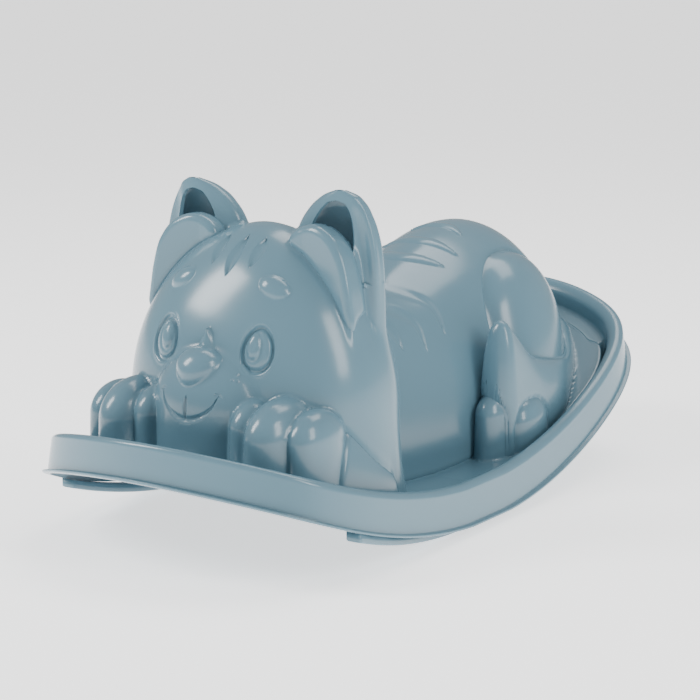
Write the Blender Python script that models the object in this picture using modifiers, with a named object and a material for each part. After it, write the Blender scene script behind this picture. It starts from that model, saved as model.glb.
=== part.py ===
"""Rocking cat: a child's ride-on cat moulded in one plastic, lying on a curved tray with two runners.

Metres, +Z up. The cat looks along -Y and its left side is +X. The lowest line of the runners is z = 0.
The toy is a thin-walled moulding drawn straight up out of its mould, so every form here is a drafted
column or dome, hollow and open below. Each form is a sub-part: a shell whose wall stops at its neighbours.
"""
import math

import bmesh
import bpy
import numpy as np
from mathutils import Matrix

# Wall and fit
WALL = 0.0035
GAP = 0.0003
LIP = 0.003

# Rocker: the runners and the tray follow one parabola
ROCKER_RADIUS = 0.625
ROCK_POINT_Y = -0.045
REST_LAND = 0.072
RUNNER_DROP = 0.009

# Tray outline and rim
FRONT_MARGIN = 0.0613
REAR_MARGIN = 0.038
SIDE_MARGIN = 0.036
SIDE_BOW = 0.09
END_BOW = 0.18
CORNER_POWER = 10.0
SKIRT_DRAFT = 0.004
RIM_HEIGHT = 0.041
CREST_RADIUS = 0.0075
DECK_HEIGHT = 0.022
DECK_DRAFT = 0.0007
FLANGE_WIDTH = 0.004
FLANGE_THICKNESS = 0.0025
TRAY_WALL = 0.003
DECK_REACH = 0.78

# Runners: rows of (share of the tray's half length, distance from the skirt's outside, width)
RUNNER_SIDES = [
    (-0.723, 0.0006, 0.0165),
    (-0.598, 0.0040, 0.0145),
    (-0.417, 0.0110, 0.0125),
    (-0.222, 0.0160, 0.0120),
    (0.556, 0.0170, 0.0120),
    (0.708, 0.0170, 0.0120),
]
RUNNER_WALL = 0.0028
RUNNER_EDGE = 0.002
RUNNER_CORNER = 0.003
SHARP_CORNER = 0.0005

# Channel in the deck beside the rim: rows of (share of the tray's half length, width, share of the full
# depth, at which its underside stands on the runner)
CHANNEL = [
    (-0.431, 0.0160, 0.08),
    (-0.278, 0.0160, 0.21),
    (-0.083, 0.0155, 0.53),
    (0.083, 0.0120, 0.95),
    (0.242, 0.0088, 1.0),
    (0.450, 0.0115, 1.0),
    (0.578, 0.0122, 1.0),
    (0.695, 0.0118, 1.0),
    (0.795, 0.0130, 1.0),
]

# Body: neck to rump
NECK_Y = -0.110
BODY_LENGTH = 0.432
BODY_WIDTH = 0.235
BACK_HEIGHT = 0.255
RUMP_ROUND = 0.110
BODY_FULLNESS = 2.0
HEAD_FULLNESS = 2.35
EAR_FULLNESS = 2.3
LIMB_FULLNESS = 2.3

# Head
HEAD_Y = -0.155
HEAD_WIDTH = 0.274
HEAD_TOP = 0.298
FACE_DEPTH = 0.109
NAPE_DEPTH = 0.079

# Ears
EAR_TIP = 0.334
EAR_X = 0.079
EAR_WIDTH = 0.100
EAR_FRONT_Y = -0.168
EAR_DEPTH = 0.070
EAR_MOUTH_DEPTH = 0.016
PANEL_DEPTH = 0.012
PANEL_EDGE = 0.002

# Muzzle
MUZZLE_WIDTH = 0.124
MUZZLE_DEPTH = 0.048
MUZZLE_Y = -0.243
MUZZLE_TOP = 0.197
MUZZLE_ROUND = 0.060
NOSE_SIZE = (0.0235, 0.0230, 0.0215)
NOSE_PLACE = (0.0, -0.266, 0.173)

# Front paws
TOE_RADIUS = 0.0262
TOE_TOP = 0.156
TOE_Y = -0.251
PAW_X = 0.084
TOE_PITCH = 0.033
FOREARM_WIDTH = 0.080
FOREARM_NOSES = (0.018, 0.022)

# Toes are taller and longer than round: rows of (sideways, forward, radius share, drop of the top)
TOE_LENGTH = 1.8
TOE_ROUND = 1.4
DOME_DRAFT = 0.03
FRONT_TOES = [
    (-TOE_PITCH, -0.002, 0.80, 0.002),
    (0.0, 0.0, 1.0, 0.0),
    (TOE_PITCH, -0.008, 0.78, 0.010),
]
HIND_TOES = [
    (-0.0125, 0.012, 0.70, 0.008),
    (0.0045, 0.017, 1.0, 0.0),
    (0.0215, -0.009, 0.77, 0.010),
]

# Haunches, hind paws and tail
HAUNCH_FROM_REAR = 0.146
HAUNCH_X = 0.079
HAUNCH_WIDTH = 0.104
HAUNCH_LENGTH = 0.160
HAUNCH_TOP = 0.217
HAUNCH_ROUND = 0.120
HIND_TOE_RADIUS = 0.0185
HIND_TOE_TOP = 0.103
HIND_PAW_X = 0.119
HIND_FOOT_NOSES = (0.012, 0.012)
TAIL_X = 0.128
TAIL_WIDTH = 0.040
TAIL_NOSES = (0.020, 0.011)

# Facet counts
BODY_POINTS = 13
LIMB_POINTS = 9
HEAD_POINTS = 26
EAR_POINTS = 18
STACK_LEVELS = 12
DOME_SIDES = 14
SMALL_DOME_SIDES = 10
DOME_RINGS = 5
NOSE_LEVELS = 8
PLATE_POINTS = 28
TRAY_POINTS = 40
CORNER_WEIGHT = 0.12
CREST_POINTS = 4
ARCH_STEP = 0.026
FIRST_BEND = 14
NOSE_RINGS = 6
RUNNER_STEPS = 12
RUNNER_CORNER_STEPS = 3
CHANNEL_STEPS = 16
ROCKER_STEPS_FRONT = 6
ROCKER_STEPS_REAR = 8

# Forms run on below the deck, where it trims them
SKIRT_BELOW = 0.045
SKIRT_SPREAD = 1.03
BEYOND = 0.02
HEAD_FOOT = 0.025

PLASTIC_COLOUR = (0.215, 0.345, 0.420)
PLASTIC_ROUGHNESS = 0.32

RUMP_Y = NECK_Y + BODY_LENGTH
TOE_FRONT_Y = TOE_Y - TOE_RADIUS * TOE_LENGTH
HAUNCH_Y = RUMP_Y - HAUNCH_FROM_REAR
CAT_HALF_WIDTH = TAIL_X + TAIL_WIDTH / 2
TRAY_FRONT_Y = TOE_FRONT_Y - FRONT_MARGIN
TRAY_REAR_Y = RUMP_Y + REAR_MARGIN
TRAY_MID_Y = (TRAY_FRONT_Y + TRAY_REAR_Y) / 2
TRAY_HALF_LENGTH = (TRAY_REAR_Y - TRAY_FRONT_Y) / 2
TRAY_HALF_WIDTH = CAT_HALF_WIDTH + SIDE_MARGIN
RIM_INSET = SKIRT_DRAFT + 2 * CREST_RADIUS

for old in list(bpy.data.objects):
    bpy.data.objects.remove(old, do_unlink=True)

PARTS = bpy.data.collections.new("rocking_cat")
CUTTERS = bpy.data.collections.new("cutters")
bpy.context.scene.collection.children.link(PARTS)
bpy.context.scene.collection.children.link(CUTTERS)


# Helpers for meshes and cuts

def add_object(name, mesh, collection=CUTTERS):
    obj = bpy.data.objects.new(name, mesh)
    collection.objects.link(obj)
    if collection is CUTTERS:
        obj.hide_render = True
        obj.display_type = "WIRE"
    return obj


def solid_from_rings(name, rings):
    """Closed solid through rings of equal count, capped at the first and the last."""
    rings = np.asarray(rings, dtype=float)
    steps, count = rings.shape[:2]
    bm = bmesh.new()
    verts = [[bm.verts.new(p) for p in ring] for ring in rings]
    for a, b in zip(verts[:-1], verts[1:]):
        for i in range(count):
            j = (i + 1) % count
            bm.faces.new((a[i], a[j], b[j], b[i]))
    bm.faces.new(verts[0][::-1])
    bm.faces.new(verts[-1])
    bmesh.ops.recalc_face_normals(bm, faces=bm.faces)
    mesh = bpy.data.meshes.new(name)
    bm.to_mesh(mesh)
    bm.free()
    return add_object(name, mesh)


def baked(obj):
    """Replaces an object's mesh and modifiers with its evaluated mesh."""
    bpy.context.view_layer.update()
    graph = bpy.context.evaluated_depsgraph_get()
    mesh = bpy.data.meshes.new_from_object(obj.evaluated_get(graph))
    obj.modifiers.clear()
    obj.data = mesh
    return obj


def boolean(obj, other, operation="DIFFERENCE"):
    """Adds a cut or a join. The exact solver loses whole toes and shells here, where walls nearly touch."""
    mod = obj.modifiers.new(operation.lower(), "BOOLEAN")
    mod.operation = operation
    mod.solver = "MANIFOLD"
    mod.object = other
    return obj


def moved(obj, matrix):
    """Applies a matrix to an object's mesh, keeping its faces outward."""
    obj.data.transform(matrix)
    if matrix.to_3x3().determinant() < 0:
        obj.data.flip_normals()
    return obj


def copied(obj, name, matrix=None):
    twin = add_object(name, obj.data.copy())
    return moved(twin, matrix) if matrix else twin


def mirrored(obj, name):
    return copied(obj, name, Matrix.Scale(-1, 4, (1, 0, 0)))


def grown(obj, by, name):
    """Copy of a smooth closed form with its surface moved outward along its normals."""
    twin = copied(obj, name)
    mesh = twin.data
    count = len(mesh.vertices)
    place = np.empty(count * 3)
    normal = np.empty(count * 3)
    mesh.vertices.foreach_get("co", place)
    mesh.vertices.foreach_get("normal", normal)
    mesh.vertices.foreach_set("co", place + by * normal)
    mesh.update()
    return twin


def flow(stations, where):
    """Smooth curve through rows of stations, read at positions along their first column."""
    stations = np.asarray(stations, dtype=float)
    knots = stations[:, 0]
    slope = np.gradient(stations[:, 1:], knots, axis=0)
    i = np.clip(np.searchsorted(knots, where) - 1, 0, len(knots) - 2)
    span = knots[i + 1] - knots[i]
    t = ((where - knots[i]) / span)[:, None]
    here, there = stations[i, 1:], stations[i + 1, 1:]
    leave, arrive = slope[i] * span[:, None], slope[i + 1] * span[:, None]
    ease = 3 * t**2 - 2 * t**3
    return (1 - ease) * here + ease * there + (t**3 - 2 * t**2 + t) * leave + (t**3 - t**2) * arrive


def power_ring(power, count):
    """Unit superellipse as two arrays of count points."""
    turn = np.linspace(0, 2 * math.pi, count, endpoint=False)
    c, s = np.cos(turn), np.sin(turn)
    return np.sign(c) * np.abs(c) ** (2 / power), np.sign(s) * np.abs(s) ** (2 / power)


def plastic(name):
    """The moulding's own satin blue-grey plastic."""
    material = bpy.data.materials.new(name)
    material.use_nodes = True
    shader = material.node_tree.nodes["Principled BSDF"]
    shader.inputs["Base Color"].default_value = (*PLASTIC_COLOUR, 1)
    shader.inputs["Roughness"].default_value = PLASTIC_ROUGHNESS
    shader.inputs["Metallic"].default_value = 0.0
    return material


def finish_part(obj, name):
    """Puts an object among the parts under its own name, with its material and smooth shading."""
    obj.name = name
    obj.data.name = name
    for collection in list(obj.users_collection):
        collection.objects.unlink(obj)
    PARTS.objects.link(obj)
    obj.hide_render = False
    obj.display_type = "TEXTURED"
    obj.data.materials.clear()
    obj.data.materials.append(plastic(name))
    obj.data.shade_smooth()
    obj.data.set_sharp_from_angle(angle=math.radians(35))
    return obj


# Rocker curve and deck

ROCKER_STATIONS = np.concatenate([
    np.linspace(TRAY_FRONT_Y - BEYOND, ROCK_POINT_Y - REST_LAND / 2, ROCKER_STEPS_FRONT + 1),
    np.linspace(ROCK_POINT_Y + REST_LAND / 2, TRAY_REAR_Y + BEYOND, ROCKER_STEPS_REAR + 1),
])


def rocker(y):
    """Height of the runners' lower line: a parabola whose lowest millimetre is a flat land to rest on."""
    past_land = (ROCKER_STATIONS - ROCK_POINT_Y) ** 2 - (REST_LAND / 2) ** 2
    heights = np.maximum(past_land, 0) / (2 * ROCKER_RADIUS)
    return np.interp(y, ROCKER_STATIONS, heights)


def deck_height(y):
    return rocker(y) + RUNNER_DROP + DECK_HEIGHT


def pressed_on_rocker(obj):
    """Cuts a flat-built object across at every rocker station and lifts it on the curve."""
    bm = bmesh.new()
    bm.from_mesh(obj.data)
    for y in ROCKER_STATIONS[1:-1]:
        everything = bm.verts[:] + bm.edges[:] + bm.faces[:]
        bmesh.ops.bisect_plane(bm, geom=everything, dist=1e-6, plane_co=(0, y, 0), plane_no=(0, 1, 0))
    for vert in bm.verts:
        vert.co.z += float(rocker(vert.co.y))
    bm.to_mesh(obj.data)
    bm.free()
    return obj


def outline_radius(turn, inset):
    """Distance from the tray's middle to its outline, inset by a width, along each direction."""
    half_w = TRAY_HALF_WIDTH - inset
    half_l = TRAY_HALF_LENGTH - inset
    low = np.zeros_like(turn)
    high = np.full_like(turn, 2 * TRAY_HALF_LENGTH)
    for _ in range(40):
        mid = (low + high) / 2
        x, y = mid * np.cos(turn), mid * np.sin(turn)
        across = np.abs(x) / (half_w * (1 - SIDE_BOW * (y / half_l) ** 2).clip(0.3))
        along = np.abs(y) / (half_l * (1 - END_BOW * (x / half_w) ** 2).clip(0.3))
        outside = across**CORNER_POWER + along**CORNER_POWER > 1
        high = np.where(outside, mid, high)
        low = np.where(outside, low, mid)
    return low


def outline_turns():
    """Directions of the outline's points, closer together round its corners."""
    turn = np.linspace(0, 2 * math.pi, 2881)
    r = outline_radius(turn, 0)
    x, y = r * np.cos(turn), r * np.sin(turn)
    dx, dy = np.diff(x), np.diff(y)
    heading = np.unwrap(np.arctan2(dy, dx))
    bend = np.abs(np.diff(heading, prepend=heading[0]))
    travel = np.concatenate([[0], np.cumsum(np.hypot(dx, dy) + CORNER_WEIGHT * bend)])
    return np.interp(np.arange(TRAY_POINTS) * travel[-1] / TRAY_POINTS, travel, turn)


TURNS = outline_turns()


def outline_ring(inset, z):
    r = outline_radius(TURNS, inset)
    return np.stack([r * np.cos(TURNS), TRAY_MID_Y + r * np.sin(TURNS), np.full(TRAY_POINTS, z)], -1)


def side_x(y, inset):
    """Distance from the tray's middle line to its side, inset by a width, at places along it."""
    turn = np.linspace(-1.3, 1.3, 2001)
    r = outline_radius(turn, inset)
    return np.interp(y, TRAY_MID_Y + r * np.sin(turn), r * np.cos(turn))


def placed_along(rows):
    """Rows whose first value is a share of the tray's half length, with that value made a place along Y."""
    rows = np.array(rows)
    rows[:, 0] = TRAY_MID_Y + rows[:, 0] * TRAY_HALF_LENGTH
    return rows


def offset_line(points, distance):
    """Polyline moved sideways by a distance, to the right of its direction, keeping its corners."""
    points = np.asarray(points)
    step = np.diff(points, axis=0)
    normal = np.stack([step[:, 1], -step[:, 0]], -1) / np.linalg.norm(step, axis=1)[:, None]
    first, last = normal[:1], normal[-1:]
    before, after = np.concatenate([first, normal]), np.concatenate([normal, last])
    mean = before + after
    mean /= np.linalg.norm(mean, axis=1)[:, None]
    return points + mean * distance / (mean * before).sum(1)[:, None]


def deck_slab():
    """Everything under the deck's top, which trims the foot of every shell."""
    half = TRAY_HALF_WIDTH
    rings = []
    for y in ROCKER_STATIONS:
        top = float(deck_height(y)) + GAP
        rings.append([(-half, y, top), (half, y, top), (half, y, -0.2), (-half, y, -0.2)])
    return solid_from_rings("deck_slab", rings)


# Forms: closed solids whose skirts reach below the deck

def arch_form(name, stations, noses, power, points):
    """Drafted form along a path: rows of (x, y, half width, crest height), its ends rounded over noses."""
    rows = np.asarray(stations, dtype=float)
    travel = np.concatenate([[0], np.cumsum(np.hypot(*np.diff(rows[:, :2], axis=0).T))])
    rows = np.column_stack([travel, rows])
    length = travel[-1]
    bend = np.radians(np.linspace(FIRST_BEND, 90, NOSE_RINGS))
    start, end = noses[0] * (1 - np.cos(bend)), length - noses[1] * (1 - np.cos(bend))
    steps = max(int((end[-1] - start[-1]) / ARCH_STEP), 1)
    middle = np.linspace(start[-1], end[-1], steps + 1)[1:-1]
    where = np.concatenate([start, middle, end[::-1]])
    shrink = np.concatenate([np.sin(bend), np.ones(len(middle)), np.sin(bend)[::-1]])
    x, y, half, crest = flow(rows, where).T
    heading = np.arctan2(np.gradient(y, where), np.gradient(x, where))
    turn = np.linspace(0, math.pi, points)
    side = np.sign(np.cos(turn)) * np.abs(np.cos(turn)) ** (2 / power)
    lift = np.sin(turn).clip(0) ** (2 / power)
    rings = []
    for i in range(len(where)):
        base = float(deck_height(y[i]))
        foot = [base - SKIRT_BELOW]
        off = np.concatenate([[SKIRT_SPREAD], side, [-SKIRT_SPREAD]]) * half[i] * shrink[i]
        up = np.concatenate([foot, base + (crest[i] - base) * lift * shrink[i], foot])
        rings.append(np.stack([x[i] + off * math.sin(heading[i]), y[i] - off * math.cos(heading[i]), up], -1))
    return solid_from_rings(name, rings)


def stack_form(name, levels, power, points):
    """Drafted form up a height: rows of (z, x low, x high, y front, y back), read smoothly between them."""
    rows = np.asarray(levels, dtype=float)
    rise = np.linspace(0, 1, STACK_LEVELS)
    z = rows[0, 0] + (rows[-1, 0] - rows[0, 0]) * np.sin(rise * math.pi / 2)
    low, high, front, back = flow(rows, z).T
    ring_x, ring_y = power_ring(power, points)
    rings = []
    for i in range(len(z)):
        x = (low[i] + high[i]) / 2 + ring_x * (high[i] - low[i]) / 2
        y = (front[i] + back[i]) / 2 + ring_y * (back[i] - front[i]) / 2
        rings.append(np.stack([x, y, np.full_like(x, z[i])], -1))
    return solid_from_rings(name, rings)


def dome_form(name, x, y, radius_x, radius_y, top, round_height, sides=DOME_SIDES):
    """Turned dome on a drafted skirt, stretched to an oval and set on its place."""
    foot = float(deck_height(y)) - SKIRT_BELOW
    shoulder = top - round_height
    bend = np.radians(np.linspace(0, 90, DOME_RINGS))
    profile = [(math.sin(a), 0, shoulder + round_height * math.cos(a)) for a in bend]
    profile += [(1 + DOME_DRAFT * (shoulder - foot) / radius_x, 0, foot), (0, 0, foot)]
    mesh = bpy.data.meshes.new(name)
    mesh.from_pydata(profile, [(i, i + 1) for i in range(len(profile) - 1)], [])
    obj = add_object(name, mesh)
    screw = obj.modifiers.new("turn", "SCREW")
    screw.steps = sides
    screw.render_steps = sides
    screw.use_merge_vertices = True
    screw.merge_threshold = 0.0001
    baked(obj)
    moved(obj, Matrix.Translation((x, y, 0)) @ Matrix.Diagonal((radius_x, radius_y, 1, 1)))
    return obj


def union_form(name, forms):
    """One closed form from several that overlap."""
    obj = copied(forms[0], name)
    for form in forms[1:]:
        boolean(obj, form, "UNION")
    return baked(obj)


# Body: shares are of the body's own length, half width and height

BODY_SHAPE = [
    (0.00, 0.66, 0.800),
    (0.14, 0.72, 0.800),
    (0.21, 0.77, 0.810),
    (0.34, 0.87, 0.838),
    (0.40, 0.905, 0.875),
    (0.49, 0.955, 0.915),
    (0.58, 0.99, 0.953),
    (0.67, 1.00, 0.983),
    (0.77, 0.965, 0.993),
    (0.88, 0.87, 0.985),
    (1.00, 0.70, 0.975),
]


def body_form():
    rows = [(0.0, NECK_Y + s * BODY_LENGTH, w * BODY_WIDTH / 2, h * BACK_HEIGHT) for s, w, h in BODY_SHAPE]
    return arch_form("body_form", rows, (0.02, RUMP_ROUND), BODY_FULLNESS, BODY_POINTS)


# Head: shares of its height over the foot, half width, face depth and nape depth

HEAD_SHAPE = [
    (0.00, 1.00, 1.02, 1.00),
    (0.30, 0.985, 0.99, 0.96),
    (0.52, 0.955, 0.955, 0.90),
    (0.64, 0.895, 0.90, 0.84),
    (0.72, 0.815, 0.83, 0.77),
    (0.81, 0.69, 0.71, 0.67),
    (0.89, 0.53, 0.545, 0.52),
    (0.95, 0.36, 0.37, 0.35),
    (0.985, 0.20, 0.205, 0.19),
    (1.00, 0.05, 0.05, 0.05),
]


def head_form():
    rows = []
    for h, w, face, nape in HEAD_SHAPE:
        z = HEAD_FOOT + h * (HEAD_TOP - HEAD_FOOT)
        half = w * HEAD_WIDTH / 2
        rows.append((z, -half, half, HEAD_Y - face * FACE_DEPTH, HEAD_Y + nape * NAPE_DEPTH))
    return stack_form("head_form", rows, HEAD_FULLNESS, HEAD_POINTS)


# Ears: shares of the ear's height over its foot, then of its width and depth

EAR_SHAPE = [
    (0.00, -0.55, 0.660, 0.98),
    (0.15, -0.55, 0.590, 0.84),
    (0.28, -0.55, 0.545, 0.72),
    (0.41, -0.55, 0.510, 0.65),
    (0.56, -0.54, 0.480, 0.61),
    (0.68, -0.54, 0.455, 0.60),
    (0.79, -0.53, 0.430, 0.57),
    (0.86, -0.50, 0.380, 0.52),
    (0.92, -0.41, 0.310, 0.44),
    (0.97, -0.20, 0.220, 0.29),
    (1.00, 0.02, 0.095, 0.12),
]
EAR_FOOT = 0.020

# Outlines seen from the front, as (x, z): the mouth of the ear's hollow, and the panel in front of it

EAR_MOUTH = [
    (0.060, 0.262), (0.052, 0.285), (0.056, 0.301), (0.068, 0.316), (0.085, 0.325),
    (0.098, 0.318), (0.104, 0.303), (0.106, 0.280), (0.108, 0.255), (0.085, 0.245),
]
EAR_PANEL = [
    (0.030, 0.250), (0.038, 0.276), (0.052, 0.298), (0.071, 0.304), (0.090, 0.297),
    (0.105, 0.279), (0.113, 0.252), (0.117, 0.225), (0.121, 0.202), (0.118, 0.186),
    (0.092, 0.194), (0.055, 0.217),
]


def ear_form():
    rows = []
    for h, inner, outer, depth in EAR_SHAPE:
        z = EAR_FOOT + h * (EAR_TIP - EAR_FOOT)
        back = EAR_FRONT_Y + depth * EAR_DEPTH
        rows.append((z, EAR_X + inner * EAR_WIDTH, EAR_X + outer * EAR_WIDTH, EAR_FRONT_Y, back))
    return stack_form("ear_form", rows, EAR_FULLNESS, EAR_POINTS)


def plate_form(name, outline, inset, front, back):
    """Slab with a smooth closed outline seen from the front, inset by a width."""
    closed = np.asarray(outline + outline[:1])
    travel = np.concatenate([[0], np.cumsum(np.hypot(*np.diff(closed, axis=0).T))])
    rows = np.column_stack([travel, closed])
    around = np.concatenate([rows[-3:-1] - [travel[-1], 0, 0], rows, rows[1:3] + [travel[-1], 0, 0]])
    edge = flow(around, np.linspace(0, travel[-1], PLATE_POINTS + 1)[:-1])
    ahead = np.roll(edge, -1, axis=0) - np.roll(edge, 1, axis=0)
    inward = np.stack([ahead[:, 1], -ahead[:, 0]], -1) / np.linalg.norm(ahead, axis=1)[:, None]
    edge = edge + inset * inward
    rings = [np.stack([edge[:, 0], np.full(len(edge), y), edge[:, 1]], -1) for y in (front, back)]
    return solid_from_rings(name, rings)


def rounded(obj, width):
    """Rounds a plate's front and back edges."""
    bevel = obj.modifiers.new("edge", "BEVEL")
    bevel.width = width
    bevel.segments = 1
    bevel.limit_method = "ANGLE"
    bevel.angle_limit = math.radians(50)
    return baked(obj)


def panel_forms():
    """A shallow tray-shaped panel, open to the ear behind it, and the hollow in its back."""
    front = EAR_FRONT_Y - PANEL_DEPTH
    outer = rounded(plate_form("panel_form", EAR_PANEL, 0.0, front, EAR_FRONT_Y + BEYOND), PANEL_EDGE)
    inner = plate_form("panel_form_inner", EAR_PANEL, WALL, front + WALL, EAR_FRONT_Y + 2 * BEYOND)
    return outer, inner


# Paws, haunch and tail

def forearm_form():
    half = FOREARM_WIDTH / 2
    rows = [
        (PAW_X + 0.002, TOE_Y - 0.010, half, TOE_TOP - 0.005),
        (PAW_X + 0.012, TOE_Y + 0.030, half, TOE_TOP - 0.021),
        (PAW_X + 0.020, TOE_Y + 0.075, half * 0.98, TOE_TOP - 0.053),
        (PAW_X + 0.022, TOE_Y + 0.115, half * 0.95, TOE_TOP - 0.081),
    ]
    return arch_form("forearm_form", rows, FOREARM_NOSES, LIMB_FULLNESS, LIMB_POINTS)


def toe_domes(name, x, y, radius, top, shares, sides):
    """Toes side by side: shares are rows of (sideways, forward, radius share, drop of the top)."""
    toes = []
    for side, forward, share, drop in shares:
        r = radius * share
        place = (x + side, y - forward)
        toes.append(dome_form(name, *place, r, r * TOE_LENGTH, top - drop, r * TOE_ROUND, sides))
    return toes


def front_toes():
    return toe_domes("toe_form", PAW_X, TOE_Y, TOE_RADIUS, TOE_TOP, FRONT_TOES, DOME_SIDES)


def haunch_form():
    half, length = HAUNCH_WIDTH / 2, HAUNCH_LENGTH / 2
    return dome_form("haunch_form", HAUNCH_X, HAUNCH_Y, half, length, HAUNCH_TOP, HAUNCH_ROUND)


def hind_foot_form():
    front = HAUNCH_Y - HAUNCH_LENGTH / 2
    rows = [
        (HIND_PAW_X + 0.004, front - 0.018, HIND_TOE_RADIUS, HIND_TOE_TOP - 0.004),
        (HIND_PAW_X + 0.006, front + 0.012, HIND_TOE_RADIUS * 1.1, HIND_TOE_TOP),
        (HIND_PAW_X + 0.004, front + 0.052, HIND_TOE_RADIUS * 1.1, HIND_TOE_TOP + 0.006),
    ]
    return arch_form("hind_foot_form", rows, HIND_FOOT_NOSES, LIMB_FULLNESS, LIMB_POINTS)


def hind_toes():
    front = HAUNCH_Y - HAUNCH_LENGTH / 2
    place = (HIND_PAW_X, front)
    return toe_domes("hind_toe_form", *place, HIND_TOE_RADIUS, HIND_TOE_TOP, HIND_TOES, SMALL_DOME_SIDES)


def tail_form():
    half = TAIL_WIDTH / 2
    rows = [
        (TAIL_X - 0.076, HAUNCH_Y + 0.129, half * 0.62, 0.152),
        (TAIL_X - 0.046, HAUNCH_Y + 0.110, half * 0.82, 0.154),
        (TAIL_X - 0.022, HAUNCH_Y + 0.074, half * 0.95, 0.148),
        (TAIL_X - 0.008, HAUNCH_Y + 0.031, half, 0.131),
        (TAIL_X - 0.001, HAUNCH_Y - 0.014, half, 0.121),
        (TAIL_X - 0.003, HAUNCH_Y - 0.056, half * 0.92, 0.134),
        (TAIL_X - 0.007, HAUNCH_Y - 0.082, half * 0.84, 0.158),
        (TAIL_X - 0.012, HAUNCH_Y - 0.110, half * 0.70, 0.183),
    ]
    return arch_form("tail_form", rows, TAIL_NOSES, LIMB_FULLNESS, LIMB_POINTS)


def muzzle_form():
    return dome_form("muzzle_form", 0.0, MUZZLE_Y, MUZZLE_WIDTH / 2, MUZZLE_DEPTH, MUZZLE_TOP, MUZZLE_ROUND)


def nose_form():
    """Oval ball that stands out of the muzzle's front."""
    bm = bmesh.new()
    bmesh.ops.create_uvsphere(bm, u_segments=DOME_SIDES, v_segments=NOSE_LEVELS, radius=1.0)
    mesh = bpy.data.meshes.new("nose_form")
    bm.to_mesh(mesh)
    bm.free()
    nose = add_object("nose_form", mesh)
    return moved(nose, Matrix.Translation(NOSE_PLACE) @ Matrix.Diagonal((*NOSE_SIZE, 1)))


# Every form with its inner and clearance twins

class Form:
    def __init__(self, outer, inner=None):
        self.outer = outer
        self.inner = inner or grown(outer, -WALL, outer.name + "_inner")
        self.clear = grown(outer, GAP, outer.name + "_clear")

    def mirror(self):
        twin = object.__new__(Form)
        twin.outer = mirrored(self.outer, self.outer.name + "_right")
        twin.inner = mirrored(self.inner, self.inner.name + "_right")
        twin.clear = mirrored(self.clear, self.clear.name + "_right")
        return twin


HEAD = [Form(head_form())]
LEFT_EAR = [Form(ear_form())]
MUZZLE = [Form(muzzle_form()), Form(nose_form())]
LEFT_PAW = [Form(form) for form in [forearm_form()] + front_toes()]
BODY = [Form(body_form())]
LEFT_HAUNCH = [Form(haunch_form())]
TAIL = [Form(tail_form())]
LEFT_HIND = [Form(form) for form in [hind_foot_form()] + hind_toes()]
LEFT_PANEL = [Form(*panel_forms())]
RIGHT_EAR, RIGHT_PAW, RIGHT_HAUNCH, RIGHT_HIND, RIGHT_PANEL = (
    [form.mirror() for form in forms] for forms in (LEFT_EAR, LEFT_PAW, LEFT_HAUNCH, LEFT_HIND, LEFT_PANEL)
)
SLAB = deck_slab()

# A shell's wall stands in front of the later ones, and stops at the earlier ones
ORDER = {
    "head_shell": HEAD,
    "left_ear_grip": LEFT_EAR,
    "right_ear_grip": RIGHT_EAR,
    "muzzle": MUZZLE,
    "left_front_paw": LEFT_PAW,
    "right_front_paw": RIGHT_PAW,
    "body_shell": BODY,
    "left_haunch": LEFT_HAUNCH,
    "right_haunch": RIGHT_HAUNCH,
    "left_hind_paw": LEFT_HIND,
    "right_hind_paw": RIGHT_HIND,
    "tail": TAIL,
    "left_ear_panel": LEFT_PANEL,
    "right_ear_panel": RIGHT_PANEL,
}

# The tail lies on the hind paw, and a panel closes nothing but the front of its ear
NO_HOLLOW_INTO = {"left_hind_paw", "right_hind_paw"}


EAR_MOUTH_CUT = plate_form("ear_mouth", EAR_MOUTH, 0.0, EAR_FRONT_Y - BEYOND, EAR_FRONT_Y + EAR_MOUTH_DEPTH)
EXTRA_CUTS = {
    "left_ear_grip": [EAR_MOUTH_CUT],
    "right_ear_grip": [mirrored(EAR_MOUTH_CUT, "ear_mouth_right")],
}


def boxes_meet(a, b):
    """Whether two objects' boxes touch, so that a cut between them can matter."""
    spans = [np.array([v.co for v in obj.data.vertices]) for obj in (a, b)]
    low, high = [span.min(axis=0) for span in spans], [span.max(axis=0) for span in spans]
    return bool((low[0] <= high[1]).all() and (low[1] <= high[0]).all())


def shell(name):
    """A node's wall: its outer forms, less its hollow, its neighbours and what lies under the deck."""
    forms = ORDER[name]
    obj = union_form(name, [form.outer for form in forms])
    for form in forms:
        boolean(obj, form.inner)
    names = list(ORDER)
    cutters = [SLAB]
    for other in names[: names.index(name)]:
        cutters += [form.clear for form in ORDER[other]]
    for other in names[names.index(name) + 1:]:
        if name not in NO_HOLLOW_INTO and not other.endswith("panel"):
            cutters += [form.inner for form in ORDER[other]]
    cutters += EXTRA_CUTS.get(name, [])
    for cutter in cutters:
        if boxes_meet(obj, cutter):
            boolean(obj, cutter)
    return finish_part(baked(obj), name)


# Tray and runners

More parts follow.
